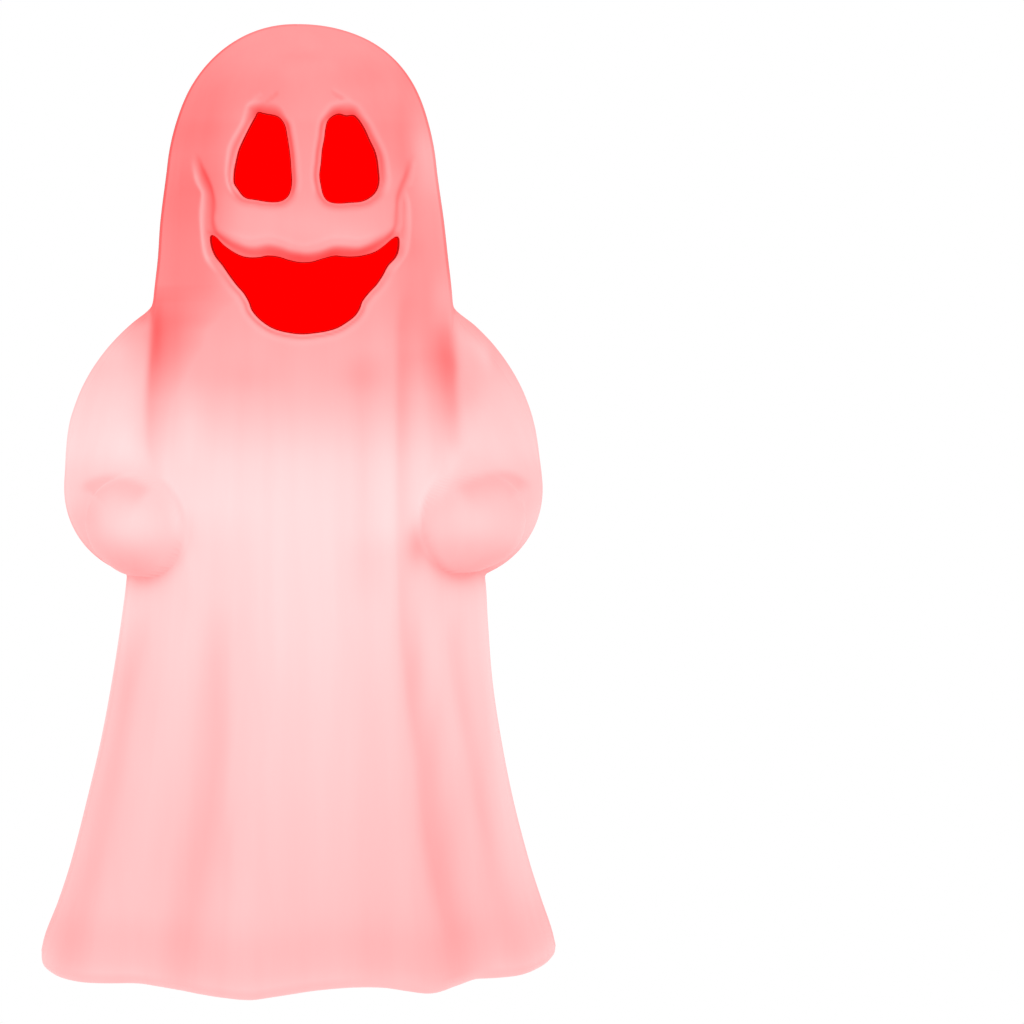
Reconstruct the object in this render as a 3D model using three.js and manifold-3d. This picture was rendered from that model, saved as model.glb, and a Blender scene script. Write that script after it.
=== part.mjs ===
// Light-up ghost: a hollow blow-moulded ghost that stands on its hem, with open
// eyes and an open mouth, lit from inside by a battery lamp unit that twist-locks
// into the recessed floor of the moulding.
//
// Frame: millimetres, +Z up, origin on the floor under the middle of the hem,
// the face looks along -Y, the ghost's own left arm is at +X.
//
// The moulding is a draped column (hood, body and skirt) joined with two bent
// arms. The column's surface is read along level rays from the vertical axis, an
// arm's along rays from its elbow; the inside is the same one wall thickness in.

import * as THREE from "three";
import { mergeVertices } from "three/addons/utils/BufferGeometryUtils.js";
import Module from "manifold-3d";

const wasm = await Module();
wasm.setup();

// ---------------------------------------------------------------- dimensions
const HEIGHT = 610; // floor to crown
const DOME_Z = 520; // where the crown's dome starts
const WALL = 2.6; // moulded wall

const PANEL_Z = 14; // underside of the recessed floor
const HOLE_R = 56; // opening in that floor for the lamp unit
const NOTCH_R = 61.5, NOTCH_W = 15; // three bayonet notches in its edge
const NOTCH_ANGLES = [60, 180, 300]; // degrees
const TWIST = 30; // degrees from locked to free

const DISC_R = 65, DISC_Z0 = 8.2, DISC_Z1 = 12.2; // disc under the floor
const DRUM_R = 54, DRUM_WALL = 2.2, DRUM_Z1 = 47; // drum inside the ghost
const LUG_Z0 = PANEL_Z + WALL + 0.4, LUG_Z1 = LUG_Z0 + 2.6, LUG_R = 60.5, LUG_W = 12;
const COVER_Z0 = 47.3, COVER_Z1 = 50.1;

const CELL_R = 7.2, CELL_BODY = 49.1, CELL_NUB = 1.2, CELL_PITCH = 15.2, CELL_Z = 22.6;
const BAY_X = 23.2, BAY_Y = 28.8, BAY_WALL = 1.6, BAY_ROOF = 31.2; // half sizes, roof height
const DOOR_X = 24, DOOR_Y1 = 31.2, DOOR_T = 2.2; // half width, free end, thickness
const HINGE_Y = -31.8, HINGE_Z = DISC_Z0 + DOOR_T / 2, HINGE_PIN_R = 0.8;
const TAB_R = 5.8, TAB_Y = 35.6; // round screw tab at the door's free end
const SWITCH_X = 38; // switch centre; its slider travels 4 along +Y

const MAST_R = 9, MAST_BORE = 6.6, MAST_Z0 = 50.4, MAST_Z1 = 262;
const CARRIER_R = 21.5, LAMP_Z = 262.3;
const DIFFUSER_R = 22, DIFFUSER_H = 65.4;

// ------------------------------------------------------------------- helpers
const rad = (d) => (d * Math.PI) / 180;
const polar = (r, deg) => [r * Math.cos(rad(deg)), r * Math.sin(rad(deg))];

// A closed geometry as a solid, its faces turned outwards.
function solid(geometry) {
  if (!geometry.isBufferGeometry) return geometry;
  const g = geometry.clone();
  g.deleteAttribute("normal");
  g.deleteAttribute("uv");
  const merged = mergeVertices(g, 1e-4);
  const src = merged.index.array;
  const kept = [], turned = [];
  for (let i = 0; i < src.length; i += 3) {
    const [a, b, c] = [src[i], src[i + 1], src[i + 2]];
    if (a === b || b === c || a === c) continue;
    kept.push(a, b, c);
    turned.push(a, c, b);
  }
  const build = (tri) =>
    new wasm.Manifold(
      new wasm.Mesh({
        numProp: 3,
        vertProperties: merged.attributes.position.array,
        triVerts: new Uint32Array(tri),
      }),
    );
  const m = build(kept);
  return m.volume() < 0 ? build(turned) : m;
}
const join = (first, ...rest) => rest.reduce((a, b) => a.add(solid(b)), solid(first));
const cut = (first, ...rest) => rest.reduce((a, b) => a.subtract(solid(b)), solid(first));

function geometryOf(m) {
  const { vertProperties, triVerts, numProp } = m.getMesh();
  const xyz = new Float32Array((vertProperties.length / numProp) * 3);
  for (let i = 0; i < xyz.length / 3; i++)
    for (let k = 0; k < 3; k++) xyz[3 * i + k] = vertProperties[numProp * i + k];
  const g = new THREE.BufferGeometry();
  g.setAttribute("position", new THREE.BufferAttribute(xyz, 3));
  g.setIndex(new THREE.BufferAttribute(new Uint32Array(triVerts), 1));
  g.computeVertexNormals();
  return g;
}

// Upright cylinder between two heights.
const cyl = (r, z0, z1, x = 0, y = 0, seg = 24) =>
  new THREE.CylinderGeometry(r, r, z1 - z0, seg).rotateX(Math.PI / 2).translate(x, y, (z0 + z1) / 2);
// Cylinder along X.
const bar = (r, x0, x1, y, z, seg = 12) =>
  new THREE.CylinderGeometry(r, r, x1 - x0, seg).rotateZ(Math.PI / 2).translate((x0 + x1) / 2, y, z);
const box = (x0, x1, y0, y1, z0, z1) =>
  new THREE.BoxGeometry(x1 - x0, y1 - y0, z1 - z0).translate((x0 + x1) / 2, (y0 + y1) / 2, (z0 + z1) / 2);
// Turned about +Z from [radius, height] pairs.
const lathe = (profile, seg = 24) =>
  new THREE.LatheGeometry(profile.map(([r, z]) => new THREE.Vector2(r, z)), seg).rotateX(Math.PI / 2);
const tube = (r0, r1, z0, z1, seg) => lathe([[r0, z0], [r1, z0], [r1, z1], [r0, z1], [r0, z0]], seg);
// Plate with rounded corners between two heights.
function slab(x0, x1, y0, y1, r, z0, z1) {
  const s = new THREE.Shape();
  s.absarc(x1 - r, y1 - r, r, 0, rad(90));
  s.absarc(x0 + r, y1 - r, r, rad(90), rad(180));
  s.absarc(x0 + r, y0 + r, r, rad(180), rad(270));
  s.absarc(x1 - r, y0 + r, r, rad(270), rad(360));
  return new THREE.ExtrudeGeometry(s, { depth: z1 - z0, bevelEnabled: false, curveSegments: 3 }).translate(0, 0, z0);
}
// Curve whose stations follow its points, so short bends get as many as long runs.
class Route extends THREE.CatmullRomCurve3 {
  constructor(points) {
    super(points.map((p) => new THREE.Vector3(...p)), false, "centripetal");
  }
  getSpacedPoints(n) {
    return this.getPoints(n);
  }
  getTangentAt(t, target) {
    return this.getTangent(t, target);
  }
}
const wire = (points, r, per, seg = 6) => {
  const section = new THREE.Shape();
  section.moveTo(r, 0);
  for (let i = 1; i < seg; i++) section.lineTo(...polar(r, (360 * i) / seg));
  return new THREE.ExtrudeGeometry(section, {
    steps: (points.length - 1) * per,
    bevelEnabled: false,
    extrudePath: new Route(points),
  });
};

// --------------------------------------------------------- the draped surface
// Smooth curve through [z, value] pairs with falling z.
function curveThrough(table) {
  const n = table.length;
  const slope = table.map((_, i) => {
    const a = table[Math.max(0, i - 1)], b = table[Math.min(n - 1, i + 1)];
    return (b[1] - a[1]) / (b[0] - a[0]);
  });
  return (z) => {
    if (z >= table[0][0]) return table[0][1];
    if (z <= table[n - 1][0]) return table[n - 1][1];
    let i = 0;
    while (z < table[i + 1][0]) i++;
    const [z0, v0] = table[i], [z1, v1] = table[i + 1];
    const h = z1 - z0, t = (z - z0) / h, t2 = t * t, t3 = t2 * t;
    return (
      (2 * t3 - 3 * t2 + 1) * v0 + (t3 - 2 * t2 + t) * h * slope[i] +
      (-2 * t3 + 3 * t2) * v1 + (t3 - t2) * h * slope[i + 1]
    );
  };
}
// Half widths to -X and +X, depths in front of and behind the axis.
const halfMinusX = curveThrough([
  [600, 80.4], [575, 81.3], [548, 81.8], [520, 84.4], [483, 89.1], [457, 91], [431, 94.2], [390, 98.2],
  [340, 103.4], [290, 108.4], [248, 112.2], [222, 115.6], [182, 121.9], [143, 129.3], [104, 138.5], [65, 148.6],
  [39, 157.1], [17, 165.7], [0, 169.3],
]);
const halfPlusX = curveThrough([
  [600, 95.2], [575, 90.9], [548, 88.7], [520, 90.3], [483, 95.3], [457, 98.2], [431, 101.2], [390, 104],
  [340, 109.2], [290, 115.8], [248, 122.5], [222, 124], [182, 126.9], [143, 132.6], [104, 140.2], [65, 150.2],
  [39, 158.4], [17, 165.8], [0, 169.7],
]);
const frontDepth = curveThrough([
  [520, 77], [470, 80.5], [430, 81.5], [340, 83], [250, 87], [150, 94], [60, 101], [0, 104],
]);
const backDepth = curveThrough([
  [520, 77], [470, 79], [430, 77.5], [340, 79], [250, 86], [150, 96], [60, 107], [0, 111],
]);
const SQUARE = 2.25; // exponent of the level sections
const CROWN = 2.08; // exponent of the dome's upright section
function section(theta, z) {
  let f = 1, zz = z;
  if (z > DOME_Z) {
    f = Math.max(0, 1 - ((z - DOME_Z) / (HEIGHT - DOME_Z)) ** CROWN) ** (1 / CROWN);
    zz = DOME_Z;
  }
  const c = Math.cos(theta), s = Math.sin(theta);
  const a = c > 0 ? halfPlusX(z) : halfMinusX(z);
  const b = s < 0 ? frontDepth(zz) : backDepth(zz);
  return f * ((Math.abs(c) / a) ** SQUARE + (Math.abs(s) / b) ** SQUARE) ** (-1 / SQUARE);
}
// The hem's outline, round from +X by the back and the front.
const HEM = [
  [170.5, 6.8], [165.9, 31.5], [155.7, 55], [139.5, 73], [119.2, 86], [100.9, 93], [79.6, 98], [58.3, 110],
  [35, 117.6], [12.7, 109], [-10.7, 102], [-34, 105], [-55.3, 113], [-77.6, 109], [-99.9, 95], [-118.2, 85],
  [-140.5, 73], [-158.8, 55], [-166.9, 31.5], [-169.5, 6.8], [-161.9, -34.5], [-152, -53.1], [-138.7, -64.2], [-125.8, -67.2],
  [-106.1, -67.8], [-92.5, -75.9], [-75, -89.3], [-61.4, -101], [-48.6, -110], [-30.3, -117.6], [-17, -111], [-4.7, -103.5],
  [7.8, -95.7], [21.5, -89.9], [37.8, -86.1], [56.1, -88], [69.8, -97.5], [79.9, -103.9], [87.7, -102.1], [99.4, -86.2],
  [115, -65.2], [128.1, -62.4], [143.1, -56.2], [156.7, -36.9], [166.1, -13.6],
].map(([x, y]) => [(Math.atan2(y, x) + 2 * Math.PI) % (2 * Math.PI), Math.hypot(x, y)]);
const FOLD = HEM.map(([t, r]) => [t, r / section(t, 0) - 1]);
// How far the hem waves in or out there, as a share of the plain section.
function fold(theta) {
  const n = FOLD.length;
  const t = ((theta % (2 * Math.PI)) + 2 * Math.PI) % (2 * Math.PI);
  let i = n - 1;
  while (i > 0 && FOLD[i][0] > t) i--;
  const at = (k) => [FOLD[((k % n) + n) % n][0] + 2 * Math.PI * Math.floor(k / n), FOLD[((k % n) + n) % n][1]];
  const [pa, p0, p1, pb] = [at(i - 1), at(i), at(i + 1), at(i + 2)];
  const h = p1[0] - p0[0], u = (t - p0[0]) / h, u2 = u * u, u3 = u2 * u;
  const m0 = (p1[1] - pa[1]) / (p1[0] - pa[0]), m1 = (pb[1] - p0[1]) / (pb[0] - p0[0]);
  return (
    (2 * u3 - 3 * u2 + 1) * p0[1] + (u3 - 2 * u2 + u) * h * m0 +
    (-2 * u3 + 3 * u2) * p1[1] + (u3 - u2) * h * m1
  );
}
const foldShare = curveThrough([
  [520, 0], [440, 0.05], [400, 0.1], [330, 0.17], [250, 0.3], [180, 0.5], [110, 0.72], [50, 0.9], [0, 1],
]);
const columnRadius = (theta, z) => section(theta, z) * (1 + foldShare(z) * fold(theta));

// A closed skin from rings that share a column count, with a pole at each end.
function skin(top, rings, bottom) {
  const cols = rings[0].length;
  const xyz = [...top, ...rings.flat(2), ...bottom];
  const at = (i, j) => 1 + i * cols + (j % cols);
  const last = 1 + rings.length * cols;
  const tri = [];
  for (let j = 0; j < cols; j++) {
    tri.push(0, at(0, j), at(0, j + 1));
    for (let i = 0; i + 1 < rings.length; i++) {
      const [a, b, c, d] = [at(i, j), at(i + 1, j), at(i + 1, j + 1), at(i, j + 1)];
      tri.push(a, b, c, a, c, d);
    }
    tri.push(at(rings.length - 1, j), last, at(rings.length - 1, j + 1));
  }
  return new THREE.BufferGeometry()
    .setAttribute("position", new THREE.BufferAttribute(new Float32Array(xyz), 3))
    .setIndex(tri);
}

// Underside of the hem up to the recessed floor: [inset from the outline, height].
const UNDER = [
  [0.6, 4.2], [2.6, 1.5], [5.5, 0], [10, 0], [12.8, 1.4], [15, 5], [16.4, 9.4], [18.2, 12.6], [21.5, PANEL_Z],
];
const UNDER_IN = [
  [3.6, 5.2], [7, WALL], [8.6, WALL], [11, 4], [13, 8.6], [15.8, 14.8], [20.5, PANEL_Z + WALL],
];
function column(cols, domeRows, levels, under, wall) {
  const point = (theta, z) => {
    const r = columnRadius(theta, z);
    return [r * Math.cos(theta), r * Math.sin(theta), z];
  };
  // one wall in, along the surface's own normal
  const inset = (theta, z) => {
    const p = new THREE.Vector3(...point(theta, z));
    if (!wall) return p.toArray();
    const dz = z > DOME_Z ? Math.min(0.5, (HEIGHT - z) / 4) : 1;
    const across = new THREE.Vector3(...point(theta + 0.01, z)).sub(p);
    const up = new THREE.Vector3(...point(theta, z + dz)).sub(p);
    return p.addScaledVector(across.cross(up).normalize(), -wall).toArray();
  };
  const rows = [];
  for (let i = 1; i <= domeRows; i++) rows.push(DOME_Z + (HEIGHT - DOME_Z) * Math.cos((i / domeRows) * (Math.PI / 2)));
  rows.push(...levels);
  const thetas = [];
  for (let j = 0; j < cols; j++) {
    const u = (j / cols) * 2 * Math.PI; // closer together over the face than over the back
    thetas.push(-Math.PI / 2 + u - 0.35 * Math.sin(u));
  }
  const rings = rows.map((z) => thetas.map((t) => inset(t, z)));
  for (const [off, z] of under)
    rings.push(thetas.map((t) => [...[Math.cos(t), Math.sin(t)].map((v) => v * (columnRadius(t, 8) - off)), z]));
  return skin([0, 0, HEIGHT - wall], rings, [0, 0, under[under.length - 1][1]]);
}

// Each arm hangs from the shoulder a little behind the middle, bends forward and
// ends in a covered hand: balls [x, y, z, radius] run together, the wrist is WRIST.
const ARMS = [
  [[-63.9, 24, 409, 27], [-80, 18, 386, 42.6], [-88, 25, 346, 62.2], [-95, 9, 308, 59.7], [-99.5, -50, 288, 34.5]],
  [[62, 17, 405, 35], [88.3, 21, 386.5, 41], [98.7, 26, 348, 56.4], [100.6, 5, 307.5, 60], [109.5, -50, 289, 34.5]],
];
const WRIST = 3;
function armDistance(p, balls, wall) {
  const span = (a, b) => {
    const [ax, ay, az, ra] = a, [bx, by, bz, rb] = b;
    const d = [bx - ax, by - ay, bz - az], q = [p[0] - ax, p[1] - ay, p[2] - az];
    const t = Math.min(1, Math.max(0, (q[0] * d[0] + q[1] * d[1] + q[2] * d[2]) / (d[0] ** 2 + d[1] ** 2 + d[2] ** 2)));
    return Math.hypot(q[0] - t * d[0], q[1] - t * d[1], q[2] - t * d[2]) - (ra + t * (rb - ra));
  };
  return Math.min(...balls.slice(1).map((b, i) => span(balls[i], b))) + wall;
}
function arm(balls, cols, rows, wall) {
  const [cx, cy, cz] = [balls[WRIST][0], balls[WRIST][1] - 12, balls[WRIST][2] + 14];
  const reach = (u, v) => {
    const dir = [Math.sin(v) * Math.cos(u), Math.sin(v) * Math.sin(u), Math.cos(v)];
    let lo = 0, hi = 170;
    for (let i = 0; i < 30; i++) {
      const mid = (lo + hi) / 2;
      const p = [cx + mid * dir[0], cy + mid * dir[1], cz + mid * dir[2]];
      if (armDistance(p, balls, wall) > 0) hi = mid;
      else lo = mid;
    }
    return [cx + lo * dir[0], cy + lo * dir[1], cz + lo * dir[2]];
  };
  const rings = [];
  for (let i = 1; i < rows; i++) {
    const ring = [];
    for (let j = 0; j < cols; j++) ring.push(reach((j / cols) * 2 * Math.PI, (i / rows) * Math.PI));
    rings.push(ring);
  }
  return skin(reach(0, 0), rings, reach(0, Math.PI));
}

const OUT_LEVELS = [496, 468, 438, 405, 370, 335, 300, 270, 243, 215, 184, 150, 116, 84, 56, 34, 18, 8];
const IN_LEVELS = [488, 450, 405, 355, 300, 250, 205, 155, 105, 62, 32, 14];

// Openings of the face as outlines seen from the front: [x, z].
const EYE_MINUS = [
  [-25.9, 542], [-29.1, 538.3], [-31.6, 534.5], [-33.4, 530.8], [-35.9, 523.3], [-37.8, 517.7], [-39, 512.1],
  [-38.7, 504.6], [-36.5, 497.1], [-33.4, 493.4], [-28.4, 491.2], [-22.2, 489.9], [-12.2, 489.9], [-6.6, 493.4],
  [-4.1, 500.9], [-4.4, 508.3], [-5, 517], [-6, 525], [-7.2, 534.5], [-9.1, 538.3], [-11, 542],
  [-16, 544.2], [-22.2, 545.1],
];
const EYE_PLUS = [
  [19, 540.8], [17.1, 537], [16.3, 529.5], [14.6, 520], [14.4, 510.8], [14, 503.3], [15.2, 495.9], [17.7, 492.1],
  [20.2, 489.6], [26.4, 489.3], [36.4, 490.3], [42, 492.1], [47.6, 495.9], [49.5, 499.6], [50.1, 505.3], [49.5, 510.8],
  [48.3, 518.3], [46.1, 524], [43.9, 529.5], [40.2, 537], [37.7, 540.8], [32.7, 542.9], [25.8, 543.9],
];
const MOUTH = [
  [-53.9, 468.3], [-45.8, 462], [-37.7, 456.4], [-29.6, 454.6], [-13.4, 455.8], [-5.3, 453.3], [2.7, 452.1],
  [10.8, 453.9], [18.9, 455.8], [35.1, 455.8], [43.2, 457.7], [51.3, 461.4], [59.4, 466.4], [62.5, 465.8], [62.5, 459.5],
  [59.4, 452.7], [51.3, 442.1], [43.2, 432.2], [35.1, 419.7], [27, 413.5], [18.9, 410.4], [10.8, 408.5],
  [2.7, 407.9], [-5.3, 409.1], [-13.4, 411.6], [-21.5, 415.4], [-29.6, 425.3], [-37.7, 438.4], [-45.8, 449],
  [-52.7, 460.2],
];
const faceCut = (outline) =>
  new THREE.ExtrudeGeometry(new THREE.Shape(outline.map(([x, z]) => new THREE.Vector2(x, z))), {
    depth: 100,
    bevelEnabled: false,
  })
    .rotateX(Math.PI / 2)
    .translate(0, -20, 0);

// ------------------------------------------------------------------ materials
const material = (color, roughness, metalness = 0) => new THREE.MeshStandardMaterial({ color, roughness, metalness });
const SHELL = material(0xf3efed, 0.45);
const WHITE = material(0xe9e7e3, 0.55);
const STEEL = material(0xc9ccd0, 0.32, 1);
const BLACK = material(0x222325, 0.5);

const ghost = new THREE.Group();
const lampUnit = new THREE.Group();
ghost.add(lampUnit);
function piece(parent, name, shape, mat, position = [0, 0, 0], rotation = [0, 0, 0]) {
  const mesh = new THREE.Mesh(geometryOf(solid(shape)), mat.clone());
  mesh.name = name;
  mesh.position.set(...position);
  mesh.rotation.set(...rotation.map(rad));
  parent.add(mesh);
}

// ------------------------------------------------------------- ghost moulding
{
  const outside = join(column(48, 6, OUT_LEVELS, UNDER, 0), ...ARMS.map((a) => arm(a, 22, 13, 0)));
  const inside = join(column(32, 4, IN_LEVELS, UNDER_IN, WALL), ...ARMS.map((a) => arm(a, 14, 9, WALL)));
  let shell = cut(outside, inside, faceCut(EYE_MINUS), faceCut(EYE_PLUS), faceCut(MOUTH));
  shell = cut(shell, cyl(HOLE_R, 5, 30, 0, 0, 40));
  for (const a of NOTCH_ANGLES)
    shell = cut(shell, box(HOLE_R - 4, NOTCH_R, -NOTCH_W / 2, NOTCH_W / 2, 5, 30).rotateZ(rad(a)));
  piece(ghost, "ghost_shell", shell, SHELL);
}

// ------------------------------------------------------- housing of the lamp unit
const SWITCH_SCREWS = [-11.5, 11.5], BOARD_SCREWS = [[-18, 12], [18, -12]], COVER_SCREWS = [30, 150, 270];
{
  // disc and drum
  let housing = solid(
    lathe(
      [
        [0, DISC_Z0], [DISC_R - 1, DISC_Z0], [DISC_R, DISC_Z0 + 1], [DISC_R, DISC_Z1], [DRUM_R, DISC_Z1],
        [DRUM_R, DRUM_Z1], [DRUM_R - DRUM_WALL, DRUM_Z1], [DRUM_R - DRUM_WALL, DISC_Z1], [0, DISC_Z1],
      ],
      40,
    ),
  );
  for (const a of NOTCH_ANGLES)
    housing = join(housing, box(DRUM_R - 1.2, LUG_R, -LUG_W / 2, LUG_W / 2, LUG_Z0, LUG_Z1).rotateZ(rad(a - TWIST)));
  // battery bay with ribs between the cells
  housing = join(
    housing,
    box(-BAY_X - BAY_WALL, BAY_X + BAY_WALL, -BAY_Y - BAY_WALL, BAY_Y + BAY_WALL, DISC_Z1 - 0.6, BAY_ROOF + 1.6),
  );
  housing = cut(housing, box(-BAY_X, BAY_X, -BAY_Y, BAY_Y, DISC_Z0 - 1, BAY_ROOF));
  for (const x of [-CELL_PITCH / 2, CELL_PITCH / 2])
    housing = join(housing, box(x - 0.35, x + 0.35, -18, 18, CELL_Z + 4.6, BAY_ROOF + 0.4));
  // recess for the door, its round tab and its hinge pins
  housing = cut(
    housing,
    box(-DOOR_X - 0.5, DOOR_X + 0.5, HINGE_Y - 1.8, DOOR_Y1 + 0.5, DISC_Z0 - 1, DISC_Z0 + DOOR_T + 0.3),
    cyl(TAB_R + 0.5, DISC_Z0 - 1, DISC_Z0 + DOOR_T + 0.3, 0, TAB_Y, 20),
    bar(HINGE_PIN_R + 0.3, -DOOR_X - 2.4, DOOR_X + 2.4, HINGE_Y, HINGE_Z, 12),
    box(-DOOR_X - 2.4, DOOR_X + 2.4, HINGE_Y - 0.95, HINGE_Y + 0.95, DISC_Z0 - 1, HINGE_Z),
  );
  // boss for the door's screw
  housing = join(housing, cyl(4, DISC_Z1 - 0.5, DISC_Z1 + 8, 0, TAB_Y, 16));
  housing = cut(housing, cyl(1.95, DISC_Z0 - 1, DISC_Z1 + 7, 0, TAB_Y, 12));
  // posts for the cover, the board and the switch
  for (const a of COVER_SCREWS) {
    const [x, y] = polar(46.5, a);
    housing = join(housing, cyl(3.4, DISC_Z1 - 0.5, DRUM_Z1, x, y, 12));
    housing = cut(housing, cyl(1.6, DRUM_Z1 - 9, DRUM_Z1 + 1, x, y, 10));
  }
  for (const [x, y] of BOARD_SCREWS) {
    housing = join(housing, cyl(2.6, BAY_ROOF + 1.2, 35.5, x, y, 12));
    housing = cut(housing, cyl(1.25, 32.9, 36, x, y, 8));
  }
  for (const y of SWITCH_SCREWS) {
    housing = join(housing, cyl(2.4, DISC_Z1 - 0.5, DISC_Z1 + 2.7, SWITCH_X, y, 12));
    housing = cut(housing, cyl(1.2, 12.5, 16, SWITCH_X, y, 8));
  }
  // slot of the switch slider in a shallow dish, and holes for the battery leads
  housing = cut(
    housing,
    slab(SWITCH_X - 2.5, SWITCH_X + 2.5, -5.1, 5.1, 1, DISC_Z0 - 1, DISC_Z1 + 1),
    slab(SWITCH_X - 6, SWITCH_X + 6, -9, 9, 3, DISC_Z0 - 1, DISC_Z0 + 1.4),
    cyl(1.4, BAY_ROOF - 1, BAY_ROOF + 3, -19.6, 27.2, 8),
    cyl(1.4, BAY_ROOF - 1, BAY_ROOF + 3, 19.6, -27.2, 8),
  );
  piece(lampUnit, "base_housing", housing, WHITE);
}
piece(lampUnit, "flange_gasket", tube(57.5, 64, DISC_Z1 + 0.3, PANEL_Z - 0.3, 40), material(0x3a3a3c, 0.9));

// A cross-head screw standing on its shaft's tip side: head between 0 and `head`.
const screw = (headR, head, shaftR, length) => join(cyl(headR, 0, head, 0, 0, 12), cyl(shaftR, -length, 0.1, 0, 0, 8));

// ---------------------------------------------------------------- battery door
{
  const door = new THREE.Group();
  lampUnit.add(door);
  let leaf = join(
    box(-DOOR_X, DOOR_X, HINGE_Y, DOOR_Y1, DISC_Z0, DISC_Z0 + DOOR_T),
    bar(DOOR_T / 2, -DOOR_X, DOOR_X, HINGE_Y, HINGE_Z),
    bar(HINGE_PIN_R, -DOOR_X - 1.9, DOOR_X + 1.9, HINGE_Y, HINGE_Z, 10),
    cyl(TAB_R, DISC_Z0, DISC_Z0 + DOOR_T, 0, TAB_Y, 20),
  );
  for (const y of [18, 21, 24]) leaf = cut(leaf, box(-9, 9, y - 0.6, y + 0.6, DISC_Z0 - 0.5, DISC_Z0 + 0.5));
  leaf = cut(leaf, cyl(1.6, DISC_Z0 - 1, DISC_Z0 + DOOR_T + 1, 0, TAB_Y, 12), cyl(3, DISC_Z0 - 1, DISC_Z0 + 1.1, 0, TAB_Y, 16));
  piece(door, "battery_door", leaf, WHITE);
  const captive = cut(
    join(cyl(2.6, 0, 1.4, 0, 0, 14), cyl(1.2, -8, 0.1, 0, 0, 10)),
    box(-1.8, 1.8, -0.3, 0.3, 0.8, 2),
    box(-0.3, 0.3, -1.8, 1.8, 0.8, 2),
  );
  piece(door, "door_screw", captive, STEEL, [0, TAB_Y, DISC_Z0 + 0.8], [180, 0, 0]);
  piece(door, "door_pad", slab(-19, 19, -12, 12, 2, DISC_Z0 + DOOR_T + 0.3, CELL_Z - CELL_R - 0.4), material(0x55565a, 0.95));
}

// ------------------------------------------------- cells, springs and contacts
{
  const L = CELL_BODY + CELL_NUB;
  const cell = lathe(
    [[0, 0], [6.6, 0], [CELL_R, 0.6], [CELL_R, CELL_BODY - 0.6], [6.4, CELL_BODY], [2.75, CELL_BODY], [2.6, L], [0, L]],
    18,
  ).translate(0, 0, BAY_Y - 0.95 - L);
  // conical spring from the contact plate to the flat end of the cell
  const coil = [];
  for (let k = 0; k <= 30; k++) {
    const u = k / 30;
    const [x, y] = polar(4.9 - 2.2 * u, u * 2.5 * 360);
    coil.push([x, y, -(BAY_Y - 1.3) + u * (2 * BAY_Y - L - 3)]);
  }
  const spring = wire(coil, 0.38, 1, 5);
  [-1, 1, -1].forEach((s, i) => {
    const stand = new THREE.Group(); // a cell's own axis, nub end last, laid along s * Y
    stand.position.set((i - 1) * CELL_PITCH, 0, CELL_Z);
    stand.rotation.x = s > 0 ? -Math.PI / 2 : Math.PI / 2;
    lampUnit.add(stand);
    piece(stand, `battery_${i + 1}`, cell, material(0x3b3f45, 0.35, 0.3));
    piece(stand, `battery_spring_${i + 1}`, spring, STEEL);
  });
  const plate = (w) => new THREE.BoxGeometry(w, 0.4, 12.8);
  const y = BAY_Y - 0.5;
  piece(lampUnit, "contact_negative", plate(12), STEEL, [-CELL_PITCH, y, CELL_Z]);
  piece(lampUnit, "contact_bridge_front", plate(CELL_PITCH + 12), STEEL, [-CELL_PITCH / 2, -y, CELL_Z]);
  piece(lampUnit, "contact_bridge_back", plate(CELL_PITCH + 12), STEEL, [CELL_PITCH / 2, y, CELL_Z]);
  piece(lampUnit, "contact_positive", plate(12), STEEL, [CELL_PITCH, -y, CELL_Z]);
}

// ---------------------------------------------------------------------- switch
{
  const top = DISC_Z1;
  const group = new THREE.Group();
  group.position.x = SWITCH_X;
  lampUnit.add(group);
  let knob = join(
    box(-2, 2, -4.6, 0.6, DISC_Z0 + 0.4, top + 0.4),
    box(-4.2, 4.2, -5.6, 1.6, top + 0.3, top + 1.1),
    box(-1.2, 1.2, -3.6, -0.4, top + 1, top + 3.9),
  );
  for (const y of [-3.4, -2, -0.6]) knob = cut(knob, box(-3, 3, y - 0.3, y + 0.3, DISC_Z0, DISC_Z0 + 0.9));
  piece(group, "switch_slider", knob, BLACK);
  let body = join(box(-4.4, 4.4, -8.4, 8.4, top + 3, top + 8.2), box(-3.4, 3.4, -14.2, 14.2, top + 3, top + 4));
  body = cut(body, box(-1.8, 1.8, -4.6, 4.8, top + 2, top + 4.6));
  for (const y of SWITCH_SCREWS) body = cut(body, cyl(1.2, top + 2, top + 5, 0, y, 10));
  for (const y of [-4, 0, 4]) body = join(body, box(-0.5, 0.5, y - 0.8, y + 0.8, top + 8, top + 11));
  piece(group, "switch_body", body, material(0xb9bcc0, 0.35, 0.8));
  SWITCH_SCREWS.forEach((y, i) => piece(group, `switch_screw_${i + 1}`, screw(1.9, 1.2, 0.8, 3.4), STEEL, [0, y, top + 4.3]));
}

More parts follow.
